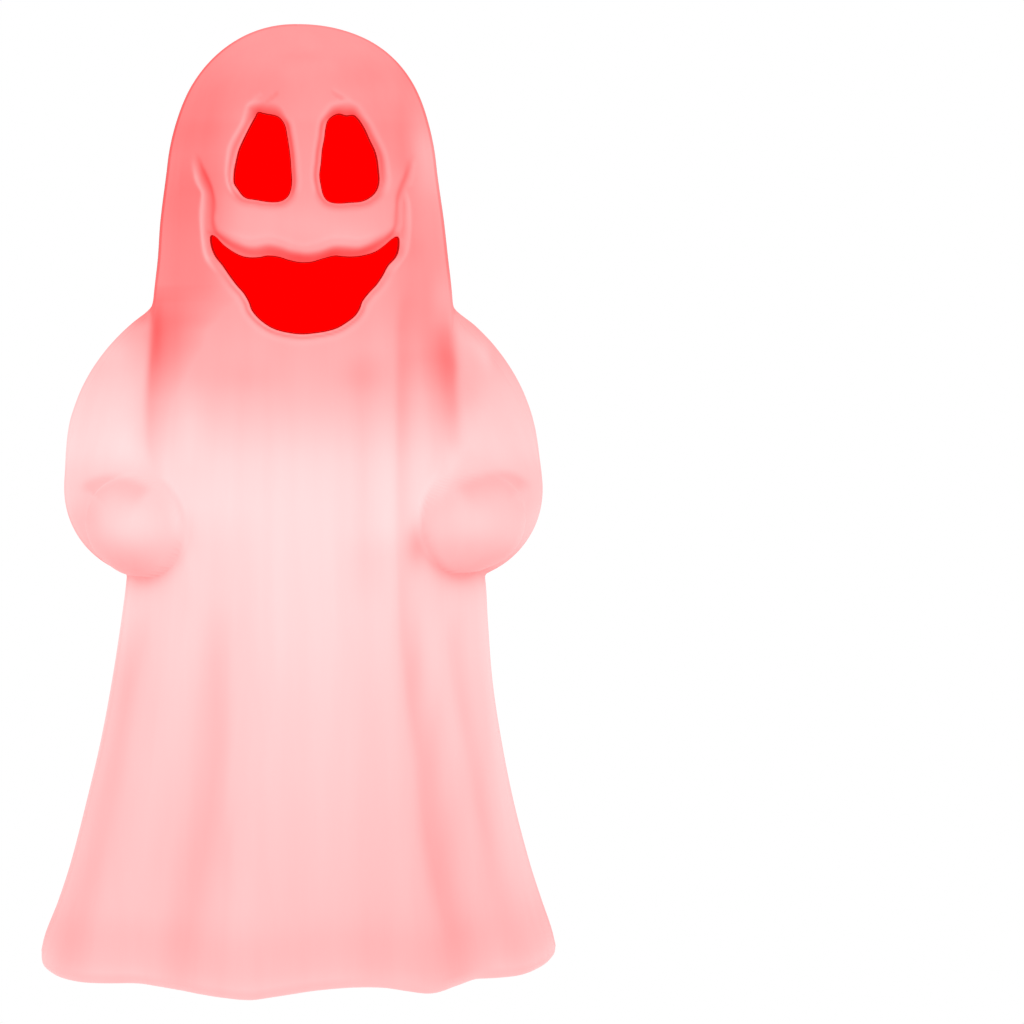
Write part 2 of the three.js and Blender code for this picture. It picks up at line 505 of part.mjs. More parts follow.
// --------------------------------------------------------------- control board
{
  let board = solid(box(-22, 22, -16, 16, 35.8, 37.3));
  for (const [x, y] of BOARD_SCREWS) board = cut(board, cyl(1.3, 35, 38, x, y, 10));
  piece(lampUnit, "control_board", board, material(0x2c6b43, 0.5));
  let chip = solid(box(-4, 4, -3.4, 3.4, 0.4, 2.4));
  for (const x of [-3, -1, 1, 3])
    chip = join(chip, box(x - 0.3, x + 0.3, -5, -3, 0, 1.1), box(x - 0.3, x + 0.3, 3, 5, 0, 1.1));
  piece(lampUnit, "timer_chip", chip, BLACK, [-2, 0, 37.6]);
  piece(lampUnit, "capacitor", lathe([[0, 0], [3.1, 0], [3.1, 6.7], [2.7, 7.2], [0, 7.2]], 14), material(0x25304a, 0.4), [10, 6, 37.6]);
  BOARD_SCREWS.forEach(([x, y], i) => piece(lampUnit, `board_screw_${i + 1}`, screw(2.2, 1.3, 0.85, 4.4), STEEL, [x, y, 37.6]));
}

// ------------------------------------------------------------- cover and mast
const MAST_SCREWS = [90, 210, 330];
{
  let cover = join(
    lathe([[0, COVER_Z0], [DRUM_R, COVER_Z0], [DRUM_R, COVER_Z1 - 0.8], [DRUM_R - 0.8, COVER_Z1], [0, COVER_Z1]], 36),
    tube(49.6, 51.4, COVER_Z0 - 2.4, COVER_Z0 + 0.5, 36),
  );
  for (const a of COVER_SCREWS) {
    const [x, y] = polar(46.5, a);
    cover = cut(cover, cyl(4.2, COVER_Z0 - 4, COVER_Z0, x, y, 14), cyl(1.7, COVER_Z0 - 4, COVER_Z1 + 1, x, y, 10));
  }
  for (const a of MAST_SCREWS) cover = cut(cover, cyl(1.3, COVER_Z0 - 1, COVER_Z1 + 1, ...polar(12.6, a), 8));
  cover = cut(cover, cyl(5, COVER_Z0 - 1, COVER_Z1 + 1, 0, 0, 16));
  piece(lampUnit, "housing_cover", cover, WHITE);
  COVER_SCREWS.forEach((a, i) =>
    piece(lampUnit, `cover_screw_${i + 1}`, screw(2.8, 1.6, 1.15, 10.4), STEEL, [...polar(46.5, a), COVER_Z1 + 0.3]),
  );

  let mast = solid(
    lathe(
      [
        [MAST_BORE, MAST_Z0], [17, MAST_Z0], [17, MAST_Z0 + 2.4], [11.4, MAST_Z0 + 3.2], [MAST_R, MAST_Z0 + 12],
        [MAST_R, MAST_Z1 - 6], [MAST_R + 2, MAST_Z1 - 2], [MAST_R + 2, MAST_Z1], [MAST_BORE, MAST_Z1], [MAST_BORE, MAST_Z0],
      ],
      20,
    ),
  );
  for (const a of MAST_SCREWS) {
    const [x, y] = polar(12.6, a);
    mast = cut(mast, cyl(1.3, MAST_Z0 - 1, MAST_Z0 + 6, x, y, 8), cyl(2.6, MAST_Z0 + 2.4, MAST_Z0 + 8, x, y, 10));
  }
  piece(lampUnit, "mast_tube", mast, WHITE);
  MAST_SCREWS.forEach((a, i) =>
    piece(lampUnit, `mast_screw_${i + 1}`, screw(2.1, 1.4, 0.95, 5.4), STEEL, [...polar(12.6, a), MAST_Z0 + 2.7]),
  );
}

// ------------------------------------------------------------------ lamp head
{
  const head = new THREE.Group();
  head.position.z = LAMP_Z;
  lampUnit.add(head);
  let carrier = lathe(
    [[0, 0], [CARRIER_R, 0], [CARRIER_R, 2], [19.6, 2], [19.6, 6], [18.4, 6], [18.4, 2.6], [0, 2.6]],
    28,
  );
  carrier = cut(carrier, cyl(4.6, -1, 4, 0, 0, 16));
  piece(head, "lamp_carrier", carrier, WHITE);
  piece(head, "led_board", cut(cyl(17.8, 2.9, 4.5, 0, 0, 28), cyl(3, 2, 5, 0, 0, 14)), material(0xe8e6df, 0.5));
  const led = lathe([[0, 0], [2.9, 0], [2.9, 1], [2.5, 1], [2.5, 6], [1.9, 7.8], [0, 8.6]], 12);
  for (let i = 0; i < 6; i++) piece(head, `led_${i + 1}`, led, material(0xff2a1e, 0.15), [...polar(10.8, 60 * i), 4.8]);
  const wall = 1.6, foot = 2.3, profile = [[DIFFUSER_R - wall, foot], [DIFFUSER_R, foot]];
  const dome = (r, top) => {
    const pts = [];
    for (let i = 0; i <= 6; i++) {
      const [c, s] = polar(1, 15 * i);
      pts.push([i === 6 ? 0 : r * c, top - 1.05 * r * (1 - s)]);
    }
    return pts;
  };
  profile.push(...dome(DIFFUSER_R, DIFFUSER_H + foot), ...dome(DIFFUSER_R - wall, DIFFUSER_H + foot - wall).reverse());
  profile.push([DIFFUSER_R - wall, foot]);
  piece(head, "lamp_diffuser", lathe(profile, 24), material(0xf6d9d4, 0.4));
}

// ----------------------------------------------------------------------- leads
{
  const RED = material(0xb3211c, 0.6), DARK = material(0x1b1b1d, 0.6);
  piece(lampUnit, "lead_negative", wire([[-19.6, 27.2, 29.6], [-19.6, 27.2, 34], [-19.6, 25.8, 39.4], [-19, 20, 42], [-16, 15.4, 41], [-15, 14, 38.4]], 0.7, 3), DARK);
  piece(lampUnit, "lead_positive", wire([[19.6, -27.2, 29.6], [19.6, -27.2, 34], [19.6, -25.8, 39.4], [18.4, -20, 42], [13.6, -15.4, 41], [12.6, -14, 38.4]], 0.7, 3), RED);
  const up = (s) => [
    [s * 1.9, -8.6, 38.4], [s * 1.9, -8, 41], [s * 1.9, -3, 45], [s * 1.6, 0, 52], [s * 1.6, 0, 262],
    [s * 1.5, 0, 267.4], [s * 3.2, 0, 269.2], [s * 5.4, 0, 268.2],
  ];
  piece(lampUnit, "lamp_lead_red", wire(up(1), 0.7, 3), RED);
  piece(lampUnit, "lamp_lead_black", wire(up(-1), 0.7, 3), DARK);
}

export default ghost;
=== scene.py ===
import bpy, math
import numpy as np
from mathutils import Matrix, Vector


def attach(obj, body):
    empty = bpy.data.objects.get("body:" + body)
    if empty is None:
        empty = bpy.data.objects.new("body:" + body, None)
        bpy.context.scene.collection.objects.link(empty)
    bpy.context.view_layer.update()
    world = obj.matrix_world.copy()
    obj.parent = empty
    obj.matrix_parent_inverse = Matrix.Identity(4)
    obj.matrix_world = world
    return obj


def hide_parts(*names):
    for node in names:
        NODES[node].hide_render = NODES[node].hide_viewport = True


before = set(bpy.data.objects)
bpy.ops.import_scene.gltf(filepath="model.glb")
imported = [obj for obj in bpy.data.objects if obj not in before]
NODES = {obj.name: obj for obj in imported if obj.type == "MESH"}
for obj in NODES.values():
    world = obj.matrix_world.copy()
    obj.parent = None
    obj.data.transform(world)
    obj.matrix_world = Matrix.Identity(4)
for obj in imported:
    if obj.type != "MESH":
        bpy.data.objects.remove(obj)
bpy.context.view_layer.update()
scene = bpy.context.scene

# ------------------------------------------------------------------ the camera
# A level picture of the ghost, in which the outlines of the face and the folds
# below are given: it is seen from DIST millimetres before the axis at the height
# EYE_Z, FOCAL is in pixels of a 1024 x 1024 picture, and the axis lies at AXIS_PX.
DIST, EYE_Z, FOCAL = 1700.0, 380.0, 2601.0
AXIS_PX, EYE_PX, AXIS_X = 300.0, 377.8, 1.5


def add_camera():
    cam = bpy.data.cameras.new("camera")
    ob = bpy.data.objects.new("camera", cam)
    scene.collection.objects.link(ob)
    cam.sensor_fit = "HORIZONTAL"
    cam.sensor_width = 36.0
    cam.lens = 2563.7 / 1024 * 36.0
    cam.shift_x, cam.shift_y = 0.10, -0.06
    cam.clip_start, cam.clip_end = 0.05, 60
    ob.location = ((AXIS_X + 9.8) / 1000, (25.4 - DIST) / 1000, (EYE_Z - 9.86) / 1000)
    m = (
        Matrix.Rotation(-0.0366, 4, "Z")
        @ Matrix.Rotation(math.pi / 2 - 0.0220, 4, "X")
        @ Matrix.Rotation(-0.0009, 4, "Z")
    )
    ob.rotation_euler = m.to_euler()
    scene.camera = ob


add_camera()


# Where a point of the ghost (mm) falls in the level picture the outlines of the
# face and the folds below are given in.
def to_px(x, y, z):
    s = FOCAL / (DIST + y)
    return AXIS_PX + (x - AXIS_X) * s, EYE_PX + (EYE_Z - z) * s


# ------------------------------------------------------- the draped surface (mm)
HEIGHT, DOME_Z, WALL = 610.0, 520.0, 2.6
SQUARE, CROWN = 2.25, 2.08
PANEL_Z, HOLE_R, NOTCH_R, NOTCH_W = 14.0, 56.0, 61.5, 15.0


def curve_through(table):
    t = np.array(table[::-1], float)
    zs, vs = t[:, 0], t[:, 1]
    n = len(zs)
    slope = np.empty(n)
    for i in range(n):
        a, b = max(0, i - 1), min(n - 1, i + 1)
        slope[i] = (vs[b] - vs[a]) / (zs[b] - zs[a])

    def f(z):
        z = np.clip(np.asarray(z, float), zs[0], zs[-1])
        i = np.clip(np.searchsorted(zs, z, side="right") - 1, 0, n - 2)
        h = zs[i + 1] - zs[i]
        u = (z - zs[i]) / h
        u2, u3 = u * u, u * u * u
        return (
            (2 * u3 - 3 * u2 + 1) * vs[i] + (u3 - 2 * u2 + u) * h * slope[i]
            + (-2 * u3 + 3 * u2) * vs[i + 1] + (u3 - u2) * h * slope[i + 1]
        )

    return f


half_minus = curve_through([
    [600, 80.0], [575, 80.9], [548, 81.4], [520, 84.0], [483, 88.7], [457, 90.6], [431, 93.8], [390, 97.8], [340, 103.0],
    [290, 108.0], [248, 111.8], [222, 115.2], [182, 121.5], [143, 128.9], [104, 138.1], [65, 148.2], [39, 156.7], [17, 165.3],
    [0, 168.9],
])
half_plus = curve_through([
    [600, 94.4], [575, 90.1], [548, 87.9], [520, 89.5], [483, 94.5], [457, 97.4], [431, 100.4], [390, 103.2], [340, 108.4],
    [290, 115.0], [248, 121.7], [222, 123.2], [182, 126.1], [143, 131.8], [104, 139.4], [65, 149.4], [39, 157.6], [17, 165.0],
    [0, 168.9],
])
front_depth = curve_through([
    [520, 77], [470, 80.5], [430, 81.5], [340, 83], [250, 87], [150, 94], [60, 101], [0, 104],
])
back_depth = curve_through([
    [520, 77], [470, 79], [430, 77.5], [340, 79], [250, 86], [150, 96], [60, 107], [0, 111],
])


def section(theta, z):
    w = np.clip((z - DOME_Z) / (HEIGHT - DOME_Z), 0, 1)
    f = np.maximum(0, 1 - w**CROWN) ** (1 / CROWN)
    zz = np.minimum(z, DOME_Z)
    c, s = np.cos(theta), np.sin(theta)
    a = np.where(c > 0, half_plus(z), half_minus(z))
    b = np.where(s < 0, front_depth(zz), back_depth(zz))
    return f * ((np.abs(c) / a) ** SQUARE + (np.abs(s) / b) ** SQUARE) ** (-1 / SQUARE)


HEM = np.array([
    [170.5, 6.8], [165.9, 31.5], [155.7, 55], [139.5, 73], [119.2, 86], [100.9, 93], [79.6, 98], [58.3, 110], [35, 117.6],
    [12.7, 109], [-10.7, 102], [-34, 105], [-55.3, 113], [-77.6, 109], [-99.9, 95], [-118.2, 85], [-140.5, 73],
    [-158.8, 55], [-166.9, 31.5], [-169.5, 6.8], [-161.9, -34.5], [-152, -53.1], [-138.7, -64.2], [-125.8, -67.2],
    [-106.1, -67.8], [-92.5, -75.9], [-75, -89.3], [-61.4, -101], [-48.6, -110], [-30.3, -117.6], [-17, -111],
    [-4.7, -103.5], [7.8, -95.7], [21.5, -89.9], [37.8, -86.1], [56.1, -88], [69.8, -97.5], [79.9, -103.9],
    [87.7, -102.1], [99.4, -86.2], [115, -65.2], [128.1, -62.4], [143.1, -56.2], [156.7, -36.9], [166.1, -13.6],
])
_ht = np.arctan2(HEM[:, 1], HEM[:, 0]) % (2 * math.pi)
_hv = np.hypot(HEM[:, 0], HEM[:, 1]) / section(_ht, np.zeros(len(_ht))) - 1
_ht = np.concatenate([_ht[-2:] - 2 * math.pi, _ht, _ht[:3] + 2 * math.pi])
_hv = np.concatenate([_hv[-2:], _hv, _hv[:3]])
_hs = np.zeros_like(_hv)
_hs[1:-1] = (_hv[2:] - _hv[:-2]) / (_ht[2:] - _ht[:-2])


def hem_fold(theta):
    t = np.asarray(theta) % (2 * math.pi)
    i = np.clip(np.searchsorted(_ht, t, side="right") - 1, 1, len(_ht) - 3)
    h = _ht[i + 1] - _ht[i]
    u = (t - _ht[i]) / h
    u2, u3 = u * u, u * u * u
    return (
        (2 * u3 - 3 * u2 + 1) * _hv[i] + (u3 - 2 * u2 + u) * h * _hs[i]
        + (-2 * u3 + 3 * u2) * _hv[i + 1] + (u3 - u2) * h * _hs[i + 1]
    )


fold_share = curve_through([
    [520, 0], [440, 0.05], [400, 0.1], [330, 0.17], [250, 0.3], [180, 0.5], [110, 0.72], [50, 0.9], [0, 1],
])


def column_radius(theta, z):
    return section(theta, z) * (1 + fold_share(z) * hem_fold(theta))


def smin(a, b, k):
    h = np.maximum(k - np.abs(a - b), 0) / k
    return np.minimum(a, b) - h * h * k * 0.25


def smoothstep(a, b, v):
    t = np.clip((v - a) / (b - a), 0, 1)
    return t * t * (3 - 2 * t)


def bell(v, c, w):
    return np.exp(-(((v - c) / w) ** 2))


# Each arm: balls [x, y, z, radius] down the sleeve, on a smooth curve from the
# shoulder to the wrist; then the covered hand in front.
def sleeve_chain(balls, n=17):
    b = np.array(balls, float)
    p = np.vstack([2 * b[0] - b[1], b, 2 * b[-1] - b[-2]])
    out = []
    for t in np.linspace(0, len(b) - 1 - 1e-9, n):
        i = int(t)
        u = t - i
        p0, p1, p2, p3 = p[i], p[i + 1], p[i + 2], p[i + 3]
        out.append(
            0.5 * ((2 * p1) + (p2 - p0) * u + (2 * p0 - 5 * p1 + 4 * p2 - p3) * u * u + (3 * p1 - p0 - 3 * p2 + p3) * u**3)
        )
    return np.array(out)


ARMS = [
    (
        sleeve_chain([[-63.9, 26, 411.4, 26.1], [-80, 18, 386.3, 41.8], [-88, 26, 346.2, 61.4], [-95, 10, 308.5, 57.8]]),
        ([-103, -47, 289, 31.3], [-98.5, -51, 286, 31.3]),
    ),
    (
        sleeve_chain([[62, 16, 404.8, 34.3], [88.3, 21.9, 386.5, 40.1], [98.7, 27, 348.2, 55.5], [100.6, 5, 307.7, 59.1]]),
        ([113, -47, 291, 31.8], [105, -51, 288, 31.8]),
    ),
]
ARM_LOW, ARM_HIGH = 225, 452


def capsule(p, a, b):
    a, b = np.array(a, float), np.array(b, float)
    d = b[:3] - a[:3]
    q = p - a[:3]
    t = np.clip((q @ d) / (d @ d), 0, 1)
    return np.linalg.norm(q - t[..., None] * d, axis=-1) - (a[3] + t * (b[3] - a[3]))


def arm_distance(p):
    best = None
    for sleeve, hand in ARMS:
        d = None
        for a, b in zip(sleeve[:-1], sleeve[1:]):
            e = capsule(p, a, b)
            d = e if d is None else smin(d, e, 1.8)
        d = smin(d, capsule(p, hand[0], hand[1]), 8)
        best = d if best is None else np.minimum(best, d)
    return best


def ray_start(theta, z):
    """Where on the X axis the ray that finds a column of the surface starts: beside the
    hands it starts off the centre, so that it meets their inner sides squarely."""
    c = np.cos(theta)
    return 54 * np.sign(c) * (1 - (1 - np.abs(c)) ** 2) * smoothstep(140, 245, z) * smoothstep(430, 335, z)


def surface(theta, z, depth=0.0):
    """Plan position of the outside, with the arms blended into the column, or of the
    surface that lies a depth inside it."""
    theta, z = np.broadcast_arrays(theta, z)
    ox = ray_start(theta, z)
    c, s = np.cos(theta), np.sin(theta)
    t = column_radius(theta, z) - depth
    near = (z > 135) & (z < ARM_HIGH)
    o, cn, sn, zn = ox[near], c[near], s[near], z[near]
    armed = (zn > ARM_LOW) & (zn < ARM_HIGH)

    def field(rho):
        x, y = o + rho * cn, rho * sn
        d = np.hypot(x, y) - column_radius(np.arctan2(y, x), zn)
        a = np.full(d.shape, 60.0)
        a[armed] = arm_distance(np.stack([x[armed], y[armed], zn[armed]], -1))
        return smin(d, a, 3 + 6 * smoothstep(262, 300, zn)) + depth

    lo = np.full(o.shape, 20.0)
    hi = np.full(o.shape, 202.0)
    found = np.zeros(o.shape, bool)
    for rho in np.arange(201.0, 20.0, -3.0):
        f = field(np.full(o.shape, rho))
        new = (~found) & (f <= 0)
        lo[new], hi[new] = rho, rho + 3.0
        found |= new
    for _ in range(16):
        mid = (lo + hi) / 2
        f = field(mid)
        hi = np.where(f > 0, mid, hi)
        lo = np.where(f > 0, lo, mid)
    t = t.copy()
    t[near] = (lo + hi) / 2
    return ox + t * c, t * s


# ------------------------------------------------------ the face and the folds
def smooth_loop(points, per=5):
    p = np.array(points, float)
    n = len(p)
    out = []
    for i in range(n):
        p0, p1, p2, p3 = p[i - 1], p[i], p[(i + 1) % n], p[(i + 2) % n]
        for k in range(per):
            t = k / per
            out.append(
                0.5 * ((2 * p1) + (p2 - p0) * t + (2 * p0 - 5 * p1 + 4 * p2 - p3) * t * t
                       + (3 * p1 - p0 - 3 * p2 + p3) * t**3)
            )
    return np.array(out)


def smooth_path(points, per=6):
    p = np.array(points, float)
    p = np.vstack([2 * p[0] - p[1], p, 2 * p[-1] - p[-2]])
    out = []
    for i in range(1, len(p) - 2):
        p0, p1, p2, p3 = p[i - 1], p[i], p[i + 1], p[i + 2]
        for k in range(per):
            t = k / per
            out.append(
                0.5 * ((2 * p1) + (p2 - p0) * t + (2 * p0 - 5 * p1 + 4 * p2 - p3) * t * t
                       + (3 * p1 - p0 - 3 * p2 + p3) * t**3)
            )
    out.append(p[-2])
    return np.array(out)


def segments_distance(x, y, a, b):
    """Distance of many points to the nearest of many segments."""
    best = np.full(x.shape, 1e9)
    for (ax, ay), (bx, by) in zip(a, b):
        dx, dy = bx - ax, by - ay
        t = np.clip(((x - ax) * dx + (y - ay) * dy) / (dx * dx + dy * dy + 1e-12), 0, 1)
        best = np.minimum(best, (x - ax - t * dx) ** 2 + (y - ay - t * dy) ** 2)
    return np.sqrt(best)


def loop_distance(x, y, loop):
    """Signed distance to a closed outline, negative inside."""
    nxt = np.roll(loop, -1, axis=0)
    d = segments_distance(x, y, loop, nxt)
    inside = np.zeros(x.shape, bool)
    for (ax, ay), (bx, by) in zip(loop, nxt):
        if ay == by:
            continue
        cross = ((ay > y) != (by > y)) & (x < (bx - ax) * (y - ay) / (by - ay) + ax)
        inside ^= cross
    return np.where(inside, -d, d)


def path_distance(x, y, path):
    """Distance to an open path, the share along it, and the side."""
    best = np.full(x.shape, 1e9)
    share = np.zeros(x.shape)
    side = np.zeros(x.shape)
    n = len(path) - 1
    for i in range(n):
        (ax, ay), (bx, by) = path[i], path[i + 1]
        dx, dy = bx - ax, by - ay
        t = np.clip(((x - ax) * dx + (y - ay) * dy) / (dx * dx + dy * dy + 1e-12), 0, 1)
        d = (x - ax - t * dx) ** 2 + (y - ay - t * dy) ** 2
        new = d < best
        best = np.where(new, d, best)
        share = np.where(new, (i + t) / n, share)
        side = np.where(new, np.sign(dx * (y - ay) - dy * (x - ax)), side)
    return np.sqrt(best), share, side


EYE_MINUS = smooth_loop([
    (258.6, 112.9), (255.9, 117.3), (250.5, 127.1), (244.3, 139.6), (239.6, 150.1), (236.6, 161.9), (234.8, 171.8),
    (234.5, 182.5), (238, 188.8), (245.2, 197.4), (256.8, 199.8), (269.3, 201.8), (280, 201.3), (287.1, 197.1),
    (290.5, 190.4), (291.8, 181.5), (291.1, 170), (290.4, 159.3), (288.9, 146.8), (287, 135.3), (285.4, 127.1),
    (281.9, 120.6), (276.4, 116.4), (265.7, 114.3),
])
EYE_PLUS = smooth_loop([
    (338.9, 114.2), (332.4, 116.8), (327.9, 121.6), (325.8, 129.9), (324.7, 138.9), (322.5, 150.4), (321.4, 162.9),
    (319.9, 175.4), (321.4, 186.1), (323.6, 195), (328.5, 201), (337.1, 203), (349.6, 202.3), (362.1, 201),
    (371.1, 196.2), (376.6, 189.6), (378.9, 180.7), (378.2, 170), (376.9, 159.3), (374.3, 150.1), (369.9, 141),
    (365, 130.2), (359.7, 121.3), (353.8, 115.6), (346.1, 116),
])
MOUTH = smooth_loop([
    (211.5, 235.4), (216.2, 237.4), (222.9, 244.6), (231.8, 251.1), (240.7, 255.7), (249.6, 257.6), (260.4, 257.2),
    (267.5, 255.7), (279, 256.9), (288.9, 260), (301, 262.3), (312.1, 261.6), (322.9, 258.4), (334.4, 255.6),
    (342, 256.2), (351.4, 256.6), (362.1, 255.5), (374.6, 251.9), (383.6, 246), (391.2, 239.6), (396.6, 236.4),
    (398.7, 239.4), (398.1, 249.6), (394.8, 257.4), (387.5, 265.3), (382.4, 274.7), (375.8, 284.4), (367.7, 293.1),
    (361.8, 301), (359.3, 308), (354.4, 315.3), (346.1, 321.8), (337.1, 327.1), (327.2, 330.2), (315.3, 332.2),
    (302, 333.3), (289, 332), (276.4, 328.9), (266.9, 324.1), (258.2, 317.1), (252, 309.3), (249.2, 301.5),
    (244, 292.6), (237.1, 284.8), (230, 275.4), (222.9, 265), (216.2, 256.8), (212.4, 248.6), (210.8, 240.6),
], 4)
# The eyes lie in sockets whose outer edge is a soft ridge.
SOCKET_MINUS = smooth_loop([
    (247.4, 113), (243.2, 124.4), (236.2, 137), (230.8, 149), (229.1, 163), (228.8, 177), (231.8, 189.2),
    (237.1, 198.2), (247, 203.6), (260.4, 205.6), (274.6, 206), (288, 202.4), (294.9, 194.2), (296.8, 180.7),
    (296.2, 166.4), (294.6, 150.4), (291.3, 132.5), (286.9, 117.2), (280.4, 107.4), (269.3, 103.8), (256.8, 104.6),
    (249.6, 107.4),
])
SOCKET_PLUS = smooth_loop([
    (322, 122.6), (319.6, 141.4), (316, 155.7), (314.7, 173.6), (316.8, 193.2), (323.6, 203.1), (333.6, 206.8),
    (349.6, 206.8), (364.4, 204.6), (375.6, 198.4), (382.4, 188.9), (385.2, 177.1), (384.8, 162.9), (381, 150.4),
    (374.8, 137.9), (368.3, 124.4), (361, 111.9), (355.9, 106.3), (347.9, 104.3), (338.9, 105), (330.4, 109),
])
# The raised middle of the face: its lower edge overhangs the mouth, its sides
# fall into the cheek lines, and it fades out under the brow.
PLATE = smooth_loop([
    (199, 150), (202.4, 163), (207.4, 175.6), (213.6, 188), (215.4, 202), (214, 213), (213.6, 223), (216.4, 230.4),
    (222.4, 237.4), (231.8, 243.6), (246, 248.9), (257, 249.2), (269.3, 246.8), (280, 249.6), (290.7, 253.8),
    (305, 256.2), (319.3, 253.8), (333, 248.4), (344.3, 248.2), (358.6, 249.8), (372.9, 246.2), (384.4, 240),
    (391.6, 233), (395.4, 225.4), (396.4, 212), (397.4, 198.4), (401.4, 187), (406.6, 176), (410.4, 163),
    (412.6, 150), (405, 118), (380, 96), (300, 84), (222, 96), (204, 120),
], 4)

# Ridges (+) and creases (-) of the face: path in the picture, height in
# millimetres, half width in pixels, painted light (+) or shade (-).
LINES = [
    # ridge outside each cheek line, running on round the corner of the mouth
    ([(193.6, 157), (196.2, 170), (199.6, 183), (204.2, 193), (204.1, 203), (203.3, 214), (203.3, 227),
      (204.7, 241.4), (207.2, 254.7), (212, 265), (220, 275)], 1.2, 2.8, 42),
    ([(404.4, 187), (407.6, 200), (408.8, 214), (409, 230.7), (407.4, 245), (404.2, 256.2), (397, 266.6),
      (390, 276)], 0.9, 2.5, 17),
    ([(414.4, 159), (412.4, 177), (408.6, 190)], 0.5, 2.8, 7),
    # the cheek lines
    ([(198.6, 156), (203.6, 171), (209.4, 184), (213.2, 196), (214.3, 208), (213.6, 219), (215, 229), (220, 237)],
     -1.0, 3.3, -33),
    ([(409.8, 157), (406, 173), (400.8, 187), (397.2, 199), (396.4, 212), (395.6, 224), (392, 233), (386, 240)],
     -0.9, 3.2, -27),
    ([(404.4, 196), (404.4, 212), (403.6, 230), (401, 240)], -0.4, 1.7, -14),
    ([(208.4, 240), (209.2, 249), (211.6, 258)], -0.3, 1.6, -8),
    # small brow lines over the eyes
    ([(280, 93), (273, 99), (265.4, 104.6)], -0.5, 1.8, -10),
    ([(264, 94), (255, 100.8), (247.6, 110)], 0.5, 2.8, 8),
    ([(331, 92), (337.4, 97), (344.6, 101.2)], -0.5, 1.8, -7),
    ([(332, 90.6), (342, 95.6), (354, 103)], 0.5, 2.8, 6),
]
LINES = [(smooth_path(p), h, w, k) for p, h, w, k in LINES]

# Where a sleeve ends over the top of each hand, from left to right.
CUFFS = [
    smooth_path([(82, 492), (86, 485), (94, 480), (106, 477.5), (118, 478), (132, 481.5), (144, 487), (153, 493)]),
    smooth_path([(452, 493), (462, 486), (474, 480), (488, 476), (502, 474), (514, 476), (524, 482), (531, 491)]),
]
# The outline of each covered hand: centre and radius in the picture, the way to the
# middle of the ghost, and how deep the painted shadow on the body beside it is by the direction (degrees,
# 0 towards the middle, 90 straight down).
HANDS = [
    (142.3, 526, 49.6, 1, [-25, -10, 10, 27, 50, 84, 110, 140, 170], [0, 3, 7, 10, 15, 45, 50, 30, 0]),
    (463.2, 523, 50.2, -1, [-25, 0, 20, 40, 60, 78, 110, 140, 170], [0, 3, 10, 22, 38, 54, 50, 30, 0]),
]

# Where an arm lies against the body, from the shoulder down: height and place across.
ARM_EDGE_MINUS = [(300, 150.5), (325, 150), (345, 149), (365, 147.5), (385, 146), (405, 144.8), (440, 144.6), (490, 145)]
ARM_EDGE_PLUS = [(300, 451), (325, 452.7), (345, 454), (365, 457), (385, 457.6), (405, 459.5), (440, 461), (490, 458)]

# Folds of the cloth: stations (x, y) from top to bottom in the picture, height in
# millimetres at each, half widths to the left and the right in pixels.
FOLDS = [
    ([(215, 585), (214, 660), (213, 740), (205, 810), (194, 870), (184, 930), (178, 980)],
     [0, -2.4, -3.0, -3.0, -2.8, -2.4, -1.2], (17, 17)),
    ([(186, 590), (184, 640), (176, 700), (158, 770), (146, 830), (132, 890), (122, 975)],
     [0, 1.4, 1.8, 1.9, 1.8, 1.5, 0.8], (18, 18)),
    ([(145, 590), (136, 640), (122, 700), (110, 770), (96, 840), (80, 900), (66, 960)],
     [0, -2.0, -2.6, -2.2, -1.6, -1.8, -1.6], (14, 14)),
    ([(236, 610), (240, 700), (243, 800), (246, 900), (250, 985)], [0, 1.0, 1.3, 1.5, 1.2], (14, 18)),
    ([(398, 268), (391, 330), (389, 450), (389, 560), (388, 660), (394, 780), (400, 860), (408, 930), (414, 985)],
     [0, 1.3, 1.5, 1.6, 1.8, 1.9, 2.0, 1.8, 1.0], (22, 9)),
    ([(412, 275), (404, 330), (403, 450), (404, 560), (406, 640), (414, 700), (426, 760), (433, 832), (441, 880),
      (453, 930), (458, 985)],
     [0, -1.4, -1.9, -2.1, -3.0, -3.2, -3.4, -3.6, -3.4, -2.6, -1.4], (11, 13)),
    ([(430, 590), (430, 640), (440, 690), (452, 740), (460, 800), (472, 850), (480, 900), (490, 965)],
     [0, 1.4, 1.8, 2.0, 1.8, 1.4, 1.2, 0.8], (11, 12)),
    ([(454, 590), (455, 640), (462, 690), (472, 740), (482, 800), (494, 850), (503, 900), (510, 955)],
     [0, -1.5, -1.7, -1.8, -2.0, -2.2, -2.4, -1.4], (12, 12)),
    ([(478, 590), (479, 650), (486, 720), (496, 790), (508, 850), (520, 920)], [0, 1.2, 1.4, 1.6, 1.6, 0.8], (10, 12)),
    ([(268, 345), (268, 450), (269, 560), (271, 660), (272, 760)], [0, -0.5, -0.5, -0.5, 0], (7, 7)),
    ([(284, 350), (284, 450), (285, 560), (286, 680)], [0, 0.4, 0.4, 0], (8, 8)),
    ([(340, 350), (341, 430), (342, 540), (344, 640), (346, 720)], [0, -0.5, -0.5, -0.4, 0], (8, 8)),
    ([(362, 350), (364, 450), (366, 560), (370, 680), (376, 800)], [0, -0.8, -0.5, -0.4, 0], (9, 9)),
    ([(224, 330), (222, 400), (220, 480), (218, 560)], [0, 0.7, 0.6, 0], (12, 12)),
    ([(240, 345), (238, 420), (238, 520), (238, 610)], [0, -0.6, -0.5, 0], (9, 9)),
]


